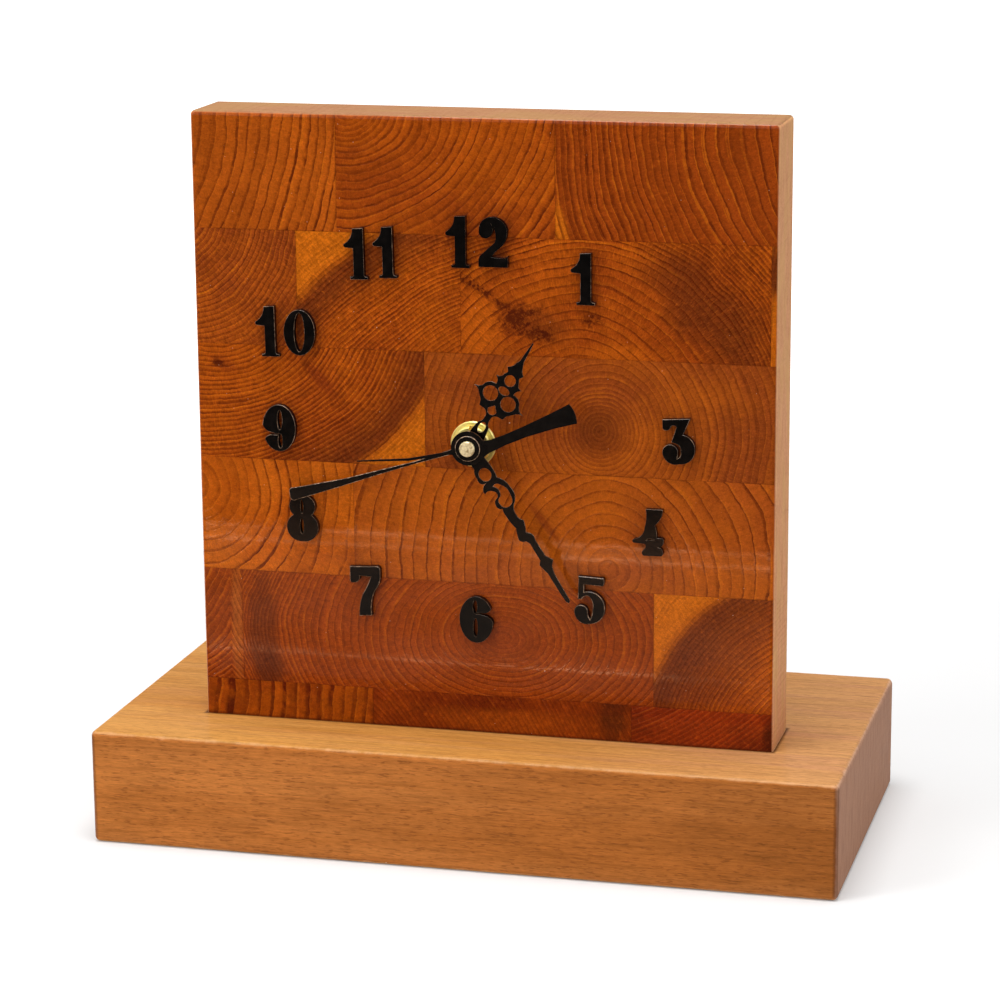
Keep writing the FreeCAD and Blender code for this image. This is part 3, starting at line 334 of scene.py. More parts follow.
def stained(r, tint, growth, stain):
    """The tint with a stain on it: an ellipse with a ragged rim, turned by its lean."""
    x, z, half_width, half_height, lean, strength, colour = stain
    turn = math.radians(lean)
    dx, dz = r.less(r.x, x), r.less(r.z, z)
    along = r.plus(r.times(dx, math.cos(turn)), r.times(dz, math.sin(turn)))
    beside = r.less(r.times(dz, math.cos(turn)), r.times(dx, math.sin(turn)))
    reach = r.distance(r.times(along, 1 / half_width), r.times(beside, 1 / half_height))
    reach = r.plus(reach, r.sway(growth.small, 0.9))
    return r.blend(r.times(r.rise(reach, 1.15, 0.35), strength), tint, colour)


def knotted(r, tint, growth, mottled, seed, knot):
    """The tint with a knot on it: a torn dark patch that is made up of threads."""
    x, z, half_width, half_height = knot
    torn = r.clouds(3.4, detail=4.0, rough=0.7, shift=seed + 51)
    reach = r.distance(r.times(r.less(r.x, x), 1 / half_width), r.times(r.less(r.z, z), 1 / half_height))
    reach = r.plus(reach, r.sway(torn, 3.0), r.sway(growth.small, 1.0))
    threads = r.rise(r.plus(r.times(mottled, 0.6), r.times(torn, 0.4)), 0.56, 0.44)
    return r.blend(r.times(r.rise(reach, 1.5, 0.3), r.span(threads, 0.30, 0.92)), tint, KNOT_DARK)


def crack_gap(r, growth, crack):
    """1 in a crack that wavers from one point to another and closes at both ends."""
    x1, z1, x2, z2, width = crack
    length = math.hypot(x2 - x1, z2 - z1)
    ux, uz = (x2 - x1) / length, (z2 - z1) / length
    dx, dz = r.less(r.x, x1), r.less(r.z, z1)
    along = r.plus(r.times(dx, ux), r.times(dz, uz))
    beside = r.plus(r.less(r.times(dz, ux), r.times(dx, uz)), r.sway(growth.small, 5.0),
                    r.sway(growth.ragged, 2.4))
    return r.times(r.rise(r.size(beside), width, width * 0.2), r.rise(along, -2.0, 3.0),
                   r.rise(along, length + 2, length - 4))


def glue_line(r, name, growth):
    """1 on the thin line of glue along the block's joints with its neighbours."""
    low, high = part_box(name)
    joints = []
    for place, start, end, outer_start, outer_end in (
            (r.x, low.x / MM, high.x / MM, PANEL_LEFT, PANEL_RIGHT),
            (r.z, low.z / MM, high.z / MM, PANEL_FOOT, PANEL_TOP)):
        if start > outer_start + 0.5:
            joints.append(r.less(place, start))
        if end < outer_end - 0.5:
            joints.append(r.less(end, place))
    return r.times(r.rise(r.least(*joints), 0.34, 0.05), r.rise(growth.small, 0.30, 0.62))


def bare_side(r, line, fz, seed):
    """The panel's bare edge: paler, streaked lengthwise, and darker on its top faces."""
    fibres = r.clouds(0.8, stretch=(14.0, 1.0, 20.0), detail=3.0, rough=0.65, shift=4.0)
    mottled = r.clouds(0.7, stretch=(1.2, 1.0, 1.2), detail=2.0, rough=0.7, shift=seed + 5)
    warmth = r.clouds(26, stretch=(1.0, 0.3, 1.0), detail=2.0, shift=6.0)
    grain = r.plus(r.times(fibres, 0.6), r.times(mottled, 0.4))
    side = r.blend(r.rise(grain, 0.34, 0.68), BARE_WOOD, BARE_WOOD_DARK)
    side = r.blend(r.times(r.rise(warmth, 0.42, 0.60), 0.5), side, BARE_WOOD_YELLOW)
    side = r.blend(r.times(line, 0.10), side, BARE_WOOD_LINE)
    return r.bright(side, r.less(1.06, r.times(r.rise(fz, 0.55, 0.8), 0.50)))


def end_grain(name, pith, rings, early, late=RING_DARK, deep=RUSSET, contrast=0.9, line_width=0.55,
              ridges=0.5, wander=3.0, flat=1.0, sapwood=None, stains=(), knots=(), cracks=(),
              rays=0.5, seed=0.0, fold=None):
    """End grain of one block under varnish: growth rings round the pith, with the block's own
    stains and knots. pith is (x, z) in mm and may lie outside the block. rings is ring_number's
    four numbers, line_width is the late wood's width in mm, and ridges is how pale each ring's
    first wood is, a painted highlight along its ridge. wander is how far the rings stray, flat
    squeezes them in height, and beyond the x of fold they turn sharply. early and deep are the two
    tones between the lines, late is the lines' tone. sapwood is the radius where pale sapwood
    starts. A stain is (x, z, half width, half height, lean, strength, tone), a knot is (x, z, half
    width, half height) and a crack is (x, z, x, z, width)."""
    r = Recipe(name, roughness=0.42, specular=0.0)
    growth = Growth(r, pith, rings, line_width, wander, flat, seed, fold)
    line = growth.line

    blotch = r.clouds(30, detail=4.0, rough=0.65, shift=seed + 31)
    tint = r.blend(r.rise(blotch, 0.36, 0.66), early, deep)
    tint = r.bright(tint, r.plus(r.times(growth.each, 0.16), r.times(growth.patchy, 0.44), 0.67))
    # Painted highlight: the pale first wood of each ring is lightened further along its ridge.
    tint = r.blend(r.times(growth.pale, ridges), tint, SAPWOOD_AND_HIGHLIGHT)
    if sapwood is not None:
        outward = r.plus(growth.radius, r.times(growth.small, 1.5))
        sap = r.rise(outward, sapwood - 1.5, sapwood + 4.5)
        dark_rim = r.times(r.rise(outward, sapwood - 17, sapwood - 3), r.less(1.0, sap))
        tint = r.blend(r.times(dark_rim, 0.78), tint, DARK_BROWN)
        tint = r.blend(r.times(sap, 0.92), tint, SAPWOOD_AND_HIGHLIGHT)
        line = r.times(line, r.less(1.0, r.times(sap, 0.86)))
    for stain in stains:
        tint = stained(r, tint, growth, stain)
    tint = r.blend(growth.drift, tint, r.bright(tint, 0.66))
    tint = r.blend(r.least(r.times(line, contrast), 1.0), tint, late)

    # Rays run out from the pith as fine pale strokes; pores are finer still.
    strokes = r.clouds(1.0, stretch=(0.008, 2.2, 1.0), detail=3.0, rough=0.7,
                       at=r.point(growth.angle, growth.radius, seed), shift=seed)
    mottled = r.clouds(1.5, detail=3.0, rough=0.7, shift=seed + 41)
    glints = r.times(r.rise(strokes, 0.56, 0.68), r.rise(mottled, 0.46, 0.58))
    pores = r.clouds(0.45, stretch=(1.0, 6.0, 1.0), detail=3.0, rough=0.7)
    tint = r.mottle(tint, strokes, 1.5 * rays)
    tint = r.mottle(tint, mottled, 1.0)
    # Painted glints: short pale dashes along the rays.
    tint = r.blend(r.times(glints, 0.28 * rays), tint, SAPWOOD_AND_HIGHLIGHT)
    tint = r.mottle(tint, pores, 1.0)
    height = r.plus(r.times(line, -0.8), r.times(pores, 0.25), r.times(strokes, 0.25),
                    r.times(growth.pale, 0.2))

    for knot in knots:
        tint = knotted(r, tint, growth, mottled, seed, knot)
    for crack in cracks:
        gap = crack_gap(r, growth, crack)
        tint = r.blend(r.times(gap, r.span(r.rise(mottled, 0.58, 0.42), 0.3, 0.9)), tint, KNOT_DARK)
        height = r.less(height, r.times(gap, 0.6))
    glue = glue_line(r, name, growth)
    tint = r.bright(tint, r.less(1.0, r.times(glue, 0.30)))
    height = r.less(height, r.times(glue, 0.5))
    # Pale specks: the larger ones are dust, the small dense ones are painted glints.
    tint = r.blend(r.times(r.specks(9.0, 0.28, 0.10, shift=seed), 0.75), tint, DUST_AND_GLINT)
    tint = r.blend(r.times(r.specks(2.6, 0.17, 0.22, shift=seed), 0.5), tint, DUST_AND_GLINT)

    # A painted contact shadow, with some dirt and thick varnish, darkens the panel's foot; its rim is painted
    # pale, partly as wear and partly as a highlight.
    foot_shade_and_dirt = r.rise(r.plus(r.less(r.z, PANEL_FOOT), r.times(growth.small, 0.8)), 1.5, 0.5)
    tint = r.blend(r.times(foot_shade_and_dirt, 0.6), tint, KNOT_DARK)
    _, fy, fz = r.facing()
    front = r.rise(fy, 0.55, 0.8)
    tint = r.blend(front, bare_side(r, line, fz, seed), tint)
    # The outer rim of the front is painted pale, partly as wear and partly as a highlight.
    outer = r.least(r.less(r.x, PANEL_LEFT), r.less(PANEL_RIGHT, r.x), r.less(PANEL_TOP, r.z))
    worn_and_highlit = r.rise(r.plus(outer, r.sway(growth.small, 0.7)), 0.75, 0.15)
    r.colour(r.blend(r.times(worn_and_highlit, front, 0.55), tint, WORN_AND_HIGHLIT_RIM))
    r.roughness(r.plus(r.times(front, -0.16), r.times(growth.small, 0.12), 0.48))
    r.relief(height, 0.24)
    skin = r.plus(r.times(line, -0.35), r.times(growth.pale, 0.15), r.times(growth.small, 0.4),
                  r.times(pores, 0.015))
    r.relief(skin, 0.03, "Coat Normal")
    r.varnish(r.plus(r.times(front, 0.36), 0.02), 0.03)
    return r.material


# One entry per block, from what its end grain shows: courses from the top, blocks from the left.
BLOCKS = {
    "course_1_block_1": dict(
        pith=(-147.5, 250.5), rings=(50, 4.9, 100, 2.9), early=tone(160, 72, 14), wander=2.6,
        contrast=1.15, line_width=0.7, deep=tone(176, 82, 16), seed=1.3),
    "course_1_block_2": dict(
        pith=(-41.7, 253.0), rings=(7, 2.0, 30, 3.1), early=ORANGE, wander=2.6, flat=1.1, contrast=1.1,
        line_width=0.6, stains=((-45, 236, 9, 3, 20, 0.5, RING_SOFT),), seed=2.1),
    "course_1_block_3": dict(
        pith=(145.8, 250.5), rings=(43, 4.6, 110, 2.1), early=RUSSET, wander=2.2, contrast=1.0,
        line_width=0.6, ridges=0.65, stains=((29.5, 215, 3.4, 11, 16, 0.9, SAPWOOD_AND_HIGHLIGHT),), seed=3.7),
    "course_2_block_1": dict(
        pith=(-114.2, 227.2), rings=(20, 1.8, 60, 1.9), early=tone(160, 72, 16), deep=tone(134, 56, 18),
        contrast=0.7, line_width=0.4, ridges=0.7, rays=1.0, seed=4.4),
    "course_2_block_2": dict(
        pith=(25.8, 112.2), rings=(60, 1.5, 115, 1.35), early=ORANGE, wander=1.6, contrast=0.75,
        line_width=0.4, ridges=0.6, sapwood=115.0, rays=1.0, seed=5.2),
    "course_2_block_3": dict(
        pith=(35.8, 150.5), rings=(54, 3.1, 70, 1.4), early=ORANGE, wander=2.4, contrast=1.0,
        line_width=0.6, ridges=0.5, stains=((80, 187, 34, 14, -48, 0.75, DARK_BROWN),
        (49, 173, 16, 5, 0, 0.6, BRIGHT_ORANGE), (2, 180, 9, 13, 0, 0.75, BRIGHT_ORANGE),
        (22, 183, 15, 7, -25, 0.5, DARK_BROWN)), knots=((16.0, 183.5, 7.4, 5.2), (23.5, 179.5, 5.0, 3.2),
        (41, 184.5, 2.6, 2.2)), cracks=((-5.5, 198.4, 12, 187, 2.1), (19, 180.5, 28, 177, 1.6)), rays=1.0,
        seed=6.9),
    "course_2_block_4": dict(
        pith=(160, 190), rings=(50, 1.6, 62, 1.6), early=BRIGHT_ORANGE, deep=SAPWOOD_AND_HIGHLIGHT, contrast=0.4,
        stains=((101.5, 203, 6, 11, 0, 0.9, DARK_BROWN),), seed=7.5),
    "course_3_block_1": dict(
        pith=(-94.0, 202.0), rings=(30, 1.7, 90, 1.45), early=ORANGE, wander=1.8, contrast=0.9,
        line_width=0.45, ridges=0.6, sapwood=88.0, knots=((-90, 164.6, 2.6, 1.1),),
        stains=((-88, 164.5, 7, 3, -20, 0.55, RING_SOFT), (-54, 161, 9, 2.6, -48, 0.8, RING_SOFT)),
        rays=0.8, seed=8.8),
    "course_3_block_2": dict(
        pith=(43.2, 147.2), rings=(6, 1.3, 22, 2.5), early=tone(162, 76, 18), deep=tone(140, 62, 20),
        wander=2.0, contrast=0.65, line_width=0.45, ridges=0.4,
        stains=((43, 147, 12, 9, 0, 0.55, DARK_BROWN), (5, 165, 20, 5, 0, 0.35, BRIGHT_ORANGE)),
        knots=((43.2, 147.2, 1.2, 0.9),), rays=0.5, seed=9.6),
    "course_4_block_1": dict(
        pith=(-99.0, 122.0), rings=(5, 3.6, 50, 4.6), early=tone(190, 92, 18), deep=ORANGE, contrast=1.1,
        line_width=0.65, flat=0.85, wander=3.0, seed=10.1),
    "course_4_block_2": dict(
        pith=(45.5, 100.0), rings=(12, 3.6, 60, 4.6), early=tone(172, 82, 18), deep=tone(158, 72, 20),
        wander=2.6, contrast=1.0, line_width=0.6, stains=((24.5, 114.5, 10, 1.5, -52, 0.55, RING_SOFT),
        (45, 98, 14, 7, 0, 0.4, BROWN)), rays=0.4, seed=11.4),
    "course_5_block_1": dict(
        pith=(-150, 118), rings=(60, 2.4, 90, 1.8), early=RUSSET, fold=-87.8, contrast=0.55,
        line_width=0.5, stains=((-85.4, 73, 2.4, 34, 0, 0.4, tone(184, 100, 36)),), seed=12.2),
    "course_5_block_2": dict(
        pith=(9.2, 73.8), rings=(66, 2.6, 86, 1.3), early=RUSSET, flat=1.45, wander=2.6, contrast=0.56,
        line_width=0.5, ridges=0.35, stains=((-76, 72, 6, 28, 0, 0.7, DARK_BROWN),
        (-74, 57, 7, 8, -30, 0.85, DARK_BROWN), (9, 74, 20, 10, 0, 0.45, BROWN)), rays=0.5, seed=13.8),
    "course_5_block_3": dict(
        pith=(135.8, 30.5), rings=(40, 1.7, 81, 1.4), early=ORANGE, wander=1.2, contrast=0.4,
        line_width=0.4, sapwood=80.0, stains=((84, 73, 15, 34, -42, 0.5, DARK_BROWN),), rays=0.7,
        seed=14.3),
    "course_6_block_1": dict(
        pith=(-260, 70), rings=(162, 4.6, 230, 4.0), early=tone(160, 72, 8), deep=tone(132, 52, 8),
        late=tone(84, 22, 4), contrast=1.2, line_width=0.95, wander=2.4, seed=15.6),
    "course_6_block_2": dict(
        pith=(-150, -60), rings=(160, 1.5, 240, 1.5), early=tone(140, 54, 8), deep=tone(112, 38, 6),
        contrast=0.25, ridges=0.15, wander=1.2, stains=((48, 51, 6.5, 14, 0, 0.8, tone(84, 32, 8)),
        (10, 44, 30, 5, 0, 0.5, ORANGE)), seed=16.4),
    "course_6_block_3": dict(
        pith=(20, 130), rings=(60, 1.7, 120, 1.6), early=tone(150, 52, 12), deep=tone(118, 38, 10),
        contrast=0.45, ridges=0.25, wander=1.0, stains=((102, 44, 4, 9, 0, 0.8, tone(70, 16, 4)),),
        seed=17.9),
}


def board_ends(r):
    """The board's two ends: the same rings cut across, darker and greyer, under upright streaks."""
    pith_y, pith_z = 30.0, -190.0
    rings_per_mm = 0.30
    radius = r.distance(r.less(r.y, pith_y), r.less(r.z, pith_z))
    wobble = r.clouds(30, detail=2.0, shift=2)
    within = r.math("FRACT", r.plus(r.times(radius, rings_per_mm), r.times(wobble, 2.0)))
    ring = r.times(r.rise(within, 0.35, 0.9), r.rise(within, 1.0, 0.93))
    stripes = r.clouds(1.6, stretch=(1.0, 1.0, 10.0), detail=4.0, rough=0.65, shift=8)
    pores = r.clouds(0.5, detail=2.0, rough=0.7, shift=6)
    ends = r.blend(r.times(ring, 0.08), tone(172, 126, 99), tone(148, 101, 73))
    ends = r.blend(r.times(r.rise(stripes, 0.46, 0.64), 0.4), ends, tone(132, 92, 72))
    return r.mottle(ends, pores, 0.55, level=1.02)


def board_wood():
    """The solid board under the panel: fine grain along its length, small dark pores, and pale edges that are
    partly wear and partly a painted highlight.
    """
    r = Recipe("board_wood", roughness=0.44, specular=0.0)
    fx, _, fz = r.facing()
    bands = r.rise(r.clouds(22, stretch=(9.0, 1.0, 1.0), detail=3.0, rough=0.6), 0.34, 0.66)
    streaks = r.clouds(0.9, stretch=(26.0, 1.0, 1.0), detail=4.0, rough=0.66, shift=4)
    fine = r.clouds(0.4, stretch=(9.0, 1.0, 1.0), detail=3.0, rough=0.7, shift=9)
    dashes = r.rise(r.clouds(0.42, stretch=(7.0, 1.0, 1.0), detail=1.0, shift=15), 0.58, 0.70)
    blotches = r.clouds(9.0, stretch=(3.4, 1.0, 1.0), detail=4.0, rough=0.65, shift=21)
    flames = r.clouds(5.0, stretch=(16.0, 1.0, 1.0), detail=3.0, rough=0.6, shift=24)

    # The sides are browner than the top; part of the difference is painted light, the top painted lighter
    # than the sides. Both change their tone towards the right.
    sides = r.blend(bands, tone(194, 119, 57), tone(176, 103, 44))
    sides = r.bright(sides, r.less(1.0, r.times(r.rise(r.x, 55.0, BOARD_HALF_LENGTH), 0.20)))
    sides = r.mottle(sides, blotches, 0.5)
    to_right = r.rise(r.x, 0.0, BOARD_HALF_LENGTH)
    top = r.blend(bands, tone(204, 146, 76), tone(192, 131, 62))
    top = r.blend(r.times(to_right, 0.7), top, tone(198, 144, 94))
    top = r.blend(r.times(r.rise(flames, 0.46, 0.66), r.span(to_right, 0.15, 0.55)), top,
                  tone(188, 130, 92))
    on_top = r.rise(fz, 0.45, 0.75)
    tint = r.blend(on_top, sides, top)
    tint = r.bright(tint, r.less(1.0, r.times(r.rise(streaks, 0.42, 0.70), 0.24)))
    tint = r.mottle(tint, fine, 0.9)
    tint = r.blend(r.times(dashes, r.less(0.46, r.times(on_top, 0.24))), tint, tone(104, 56, 26))
    tint = r.blend(r.rise(fx, 0.55, 0.8), tint, board_ends(r))
    tint = r.mottle(tint, r.clouds(7, stretch=(6.0, 1.0, 1.0), detail=4.0, rough=0.65, shift=12), 0.16)

    # Edges lose their varnish first and are painted pale, partly as that wear and partly as a highlight on
    # their rounding; the upright edges are painted darker. The second nearest face says how near an edge is.
    dx = r.less(BOARD_HALF_LENGTH, r.size(r.x))
    dy = r.less(BOARD_HALF_DEPTH, r.size(r.y))
    dz = r.least(r.z, r.less(BOARD_THICKNESS, r.z))
    edge = r.most(r.least(dx, dy), r.least(r.most(dx, dy), dz))
    rubbed_and_highlit = r.clouds(6, detail=4.0, rough=0.7, shift=18)
    worn_and_highlit = r.rise(r.plus(edge, r.times(rubbed_and_highlit, 2.4)), 2.5, 1.1)
    worn_and_highlit_tone = r.blend(r.rise(dx, 3.0, 1.0), tone(226, 172, 124), tone(230, 184, 152))
    tint = r.blend(r.times(worn_and_highlit, 0.62), tint, worn_and_highlit_tone)
    upright_edge = r.times(r.rise(r.most(dx, dy), 2.0, 1.0), r.rise(dz, 0.6, 2.0))
    tint = r.blend(r.times(upright_edge, 0.6), tint, tone(104, 58, 34))

    # A painted contact shadow, with some dirt, runs round the panel's foot, on top of the board only.
    off_x = r.less(r.size(r.less(r.x, (PANEL_LEFT + PANEL_RIGHT) / 2)), (PANEL_RIGHT - PANEL_LEFT) / 2)
    off_y = r.less(r.size(r.less(r.y, (PANEL_FACE + PANEL_BACK) / 2)), (PANEL_BACK - PANEL_FACE) / 2)
    off_panel = r.plus(r.most(off_x, off_y), r.times(rubbed_and_highlit, 0.8))
    contact_shade_and_dirt = r.times(r.rise(off_panel, 1.9, 0.5), r.rise(fz, 0.5, 0.8),
                   r.rise(r.z, BOARD_THICKNESS - 4, BOARD_THICKNESS - 2))
    tint = r.blend(r.times(contact_shade_and_dirt, 0.8), tint, tone(70, 34, 18))
    r.colour(r.blend(r.times(r.specks(26.0, 0.35, 0.2), 0.8), tint, DUST_AND_GLINT))
    r.roughness(r.plus(r.times(streaks, 0.16), r.times(worn_and_highlit, 0.15), 0.32))
    r.relief(r.plus(r.times(streaks, 0.4), r.times(fine, 0.3), r.times(dashes, -0.5)), 0.07)
    r.varnish(0.12, 0.24)
    return r.material


def highlit_rim(r, patches):
    """1 on the rounded rim between a front and its cut sides, which faces neither way, where the
    patches, 0 to 1, let it show. It masks a painted highlight."""
    fy = r.facing()[1]
    return r.times(r.rise(fy, 0.30, 0.42), r.rise(fy, 0.985, 0.93), patches)


def black_enamel():
    """Numerals: thick glossy black, with a painted highlight along the rounded rim and a little dust."""
    r = Recipe("black_enamel", roughness=0.18, specular=0.2)
    dull = r.clouds(3.0, detail=3.0, rough=0.6)
    patches = r.rise(r.clouds(2.6, detail=3.0, rough=0.65, shift=5), 0.46, 0.60)
    rubbed_and_highlit = highlit_rim(r, r.span(patches, 0.25, 1.0))
    tint = r.blend(r.rise(dull, 0.4, 0.7), tone(5, 3, 2), tone(12, 8, 6))
    # Painted highlight along the rounded rim.
    tint = r.blend(r.times(rubbed_and_highlit, 0.62), tint, tone(186, 150, 120))
    r.colour(r.blend(r.times(r.specks(3.0, 0.14, 0.10), 0.5), tint, tone(150, 140, 125)))
    r.roughness(r.plus(r.times(dull, 0.12), r.times(rubbed_and_highlit, 0.12), 0.10))
    r.relief(r.plus(r.clouds(1.6, detail=1.0), r.times(dull, 0.6)), 0.012)
    return r.material


def black_lacquer():
    """Hands: stamped sheet with satin black lacquer, with painted pale brown highlights on the rims and the
    cut edges.
    """
    r = Recipe("black_lacquer", roughness=0.22, specular=0.22)
    cloud = r.clouds(2.4, detail=4.0, rough=0.65)
    patches = r.rise(r.clouds(1.8, detail=3.0, rough=0.65, shift=8), 0.42, 0.62)
    rubbed_and_highlit = highlit_rim(r, r.span(patches, 0.15, 1.0))
    tint = r.blend(r.rise(cloud, 0.35, 0.7), tone(6, 4, 3), tone(14, 10, 7))
    # Painted highlight: the cut edges and the rounded rims are painted pale brown.
    tint = r.blend(r.rise(r.facing()[1], 0.8, 0.3), tint, tone(96, 66, 44))
    tint = r.blend(r.times(rubbed_and_highlit, 0.75), tint, tone(206, 172, 140))
    r.colour(r.blend(r.times(r.specks(2.2, 0.10, 0.10), 0.4), tint, tone(160, 150, 135)))
    r.roughness(r.plus(r.times(cloud, 0.14), 0.14))
    r.relief(r.clouds(0.9, detail=1.0), 0.006)
    return r.material


def turned_brass():
    """Brass turned on a lathe: fine circles round the dial's centre, darker where fingers touched it."""
    r = Recipe("turned_brass", roughness=0.25, metallic=0.8)
    radius = r.distance(r.less(r.x, DIAL_X), r.less(r.z, DIAL_Z))
    circles = r.clouds(0.34, detail=2.0, rough=0.6, at=r.point(radius, 0.0, 0.0))
    tarnish = r.clouds(4.0, detail=4.0, rough=0.6)
    tint = r.blend(r.rise(tarnish, 0.40, 0.72), tone(255, 240, 150), tone(236, 202, 104))
    r.colour(r.blend(r.times(r.rise(circles, 0.46, 0.30), 0.75), tint, tone(126, 92, 30)))
    r.roughness(r.plus(r.times(circles, 0.14), r.times(tarnish, 0.12), 0.22))
    r.relief(circles, 0.04)
    return r.material


def metal(name, light, dark, size=2.0, stretch=(1.0, 1.0, 1.0), rough=0.3, bare=1.0):
    """Plain metal with fine scratches and a patchy sheen; bare is less than 1 under a dull film."""
    r = Recipe(name, roughness=rough, metallic=bare)
    patches = r.clouds(size * 2.5, detail=4.0, rough=0.6)
    scratches = r.clouds(size * 0.12, stretch=stretch, detail=3.0, rough=0.7, shift=3)
    sheen = r.plus(r.times(patches, 0.6), r.times(scratches, 0.4))
    r.colour(r.blend(r.rise(sheen, 0.38, 0.66), light, dark))
    r.roughness(r.plus(r.times(patches, 0.2), r.times(scratches, 0.14), rough - 0.16))
    r.relief(scratches, 0.015)
    return r.material


def moulded(name, light, dark, rough):
    """A recipe for moulded plastic, with its tint of faint flow clouds and dust, its flow and its
    fine spark texture."""
    r = Recipe(name, roughness=rough, specular=0.45)
    flow = r.clouds(9.0, stretch=(1.0, 1.0, 2.0), detail=3.0)
    spark = r.clouds(0.5, detail=2.0, rough=0.7, shift=5)
    tint = r.blend(r.rise(flow, 0.35, 0.68), light, dark)
    tint = r.blend(r.times(r.specks(5.0, 0.12, 0.12), 0.4), tint, tone(190, 184, 170))
    return r, tint, flow, spark


def plastic(name, light, dark, rough):
    """Plain moulded plastic."""
    r, tint, flow, spark = moulded(name, light, dark, rough)
    r.colour(r.mottle(tint, spark, 0.14))
    r.roughness(r.plus(r.times(flow, 0.12), r.times(spark, 0.18), rough - 0.14))
    r.relief(spark, 0.03)
    return r.material


def arrow_round_knob(r):
    """1 on a raised arc round the setting knob, with an arrow head at each end."""
    arc_radius, arc_half_width = 9.0, 0.45
    head_middle, head_half_length = 0.12, 2.0
    low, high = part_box("setting_knob")
    across = r.less(r.x, (low.x + high.x) / 2 / MM)
    upward = r.less(r.z, (low.z + high.z) / 2 / MM)
    angle = r.math("ARCTAN2", upward, r.size(across))
    off_arc = r.size(r.less(r.distance(across, upward), arc_radius))
    arc = r.times(r.rise(off_arc, arc_half_width, arc_half_width - 0.15), r.rise(angle, 0.30, 0.34))
    off_head = r.times(r.size(r.less(angle, head_middle)), arc_radius)
    taper = r.plus(off_arc, r.times(r.less(off_head, 1.6), 0.5))
    head = r.times(r.rise(taper, 0.9, 0.7), r.rise(off_head, head_half_length, head_half_length - 0.2))
    return r.most(arc, head)


def signs_over_cell(r):
    """1 on a raised plus and minus over the two ends of the cell."""
    over_cell, from_end = 4.2, 5.0
    low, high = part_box("battery")
    level = r.size(r.less(r.z, high.z / MM + over_cell))

    def stroke(beside, along):
        return r.times(r.rise(along, 1.6, 1.45), r.rise(beside, 0.38, 0.26))

    off_plus = r.size(r.less(r.x, high.x / MM - from_end))
    off_minus = r.size(r.less(r.x, low.x / MM + from_end))
    return r.most(stroke(level, off_plus), stroke(off_plus, level), stroke(level, off_minus))


def case_moulding():
    """The movement's black case, with a moulded arrow round the setting knob and the cell's signs."""
    r, tint, flow, spark = moulded("case_moulding", tone(32, 32, 33), tone(43, 43, 45), 0.42)
    raised = r.most(arrow_round_knob(r), signs_over_cell(r))
    tint = r.blend(r.times(raised, 0.35), tint, tone(110, 110, 112))
    r.colour(r.mottle(tint, spark, 0.14))
    r.roughness(r.plus(r.times(flow, 0.12), r.times(spark, 0.18), r.times(raised, -0.12), 0.28))
    r.relief(r.plus(r.times(spark, 0.1), raised), 0.3)
    return r.material


def cell_sleeve():
    """The AA cell: a printed foil sleeve with a bright band, between steel ends."""
    r = Recipe("cell_sleeve", roughness=0.3, specular=0.5)
    low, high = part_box("battery")
    length = (high.x - low.x) / MM
    along = r.less(r.x, low.x / MM)
    crease = r.clouds(3.0, stretch=(4.0, 1.0, 1.0), detail=3.0)
    tint = r.blend(r.rise(along, length * 0.68, length * 0.69), tone(26, 28, 34), tone(186, 104, 44))
    band = r.times(r.rise(along, length * 0.665, length * 0.67), r.rise(along, length * 0.70, length * 0.695))
    tint = r.blend(band, tint, tone(214, 206, 190))
    ends = r.most(r.rise(along, 0.7, 0.5), r.rise(along, length - 2.0, length - 1.8))
    tint = r.blend(ends, tint, tone(196, 194, 188))
    r.colour(r.mottle(tint, crease, 0.2))
    r.feed(r.shader.inputs["Metallic"], ends)
    r.roughness(r.plus(r.times(crease, 0.2), r.times(ends, -0.05), 0.2))
    r.relief(crease, 0.03)
    return r.material


def coil_winding():
    """The coil: enamelled copper wire wound turn by turn."""
    r = Recipe("coil_winding", roughness=0.3, metallic=1.0)
    wire_pitch = 0.22
    turns = r.size(r.math("SINE", r.times(r.x, math.pi / wire_pitch)))
    cloud = r.clouds(2.0, detail=3.0)
    r.colour(r.blend(cloud, tone(206, 116, 62), tone(158, 72, 34)))
    r.roughness(r.plus(r.times(cloud, 0.2), 0.22))
    r.relief(r.plus(turns, r.times(cloud, 0.2)), 0.08)
    return r.material


def circuit_board():
    """Green solder mask over copper tracks, which run 2 mm apart and step by 0.8 mm from one field
    of 2.5 mm to the next."""
    r = Recipe("green_board", roughness=0.35, specular=0.5)
    weave = r.clouds(1.1, detail=2.0)
    field = r.math("FLOOR", r.times(r.x, 0.4))
    across_track = r.math("FRACT", r.times(r.plus(r.z, r.times(field, 0.8)), 0.5))
    tracks = r.rise(r.size(r.less(across_track, 0.5)), 0.18, 0.12)
    tint = r.blend(tracks, tone(22, 84, 52), tone(44, 118, 74))
    r.colour(r.mottle(tint, weave, 0.25))
    r.roughness(r.plus(r.times(weave, 0.2), 0.25))
    r.relief(r.plus(tracks, r.times(weave, 0.3)), 0.03)
    return r.material


def dress(node, material):
    """Puts a finish on a CAD node through the object's own slots, so that its mesh stays as it is."""
    shown = frame["nodes"][node]
    if not shown.material_slots:
        shown.data.materials.append(None)
    for slot in shown.material_slots:
        slot.link = "OBJECT"
        slot.material = material


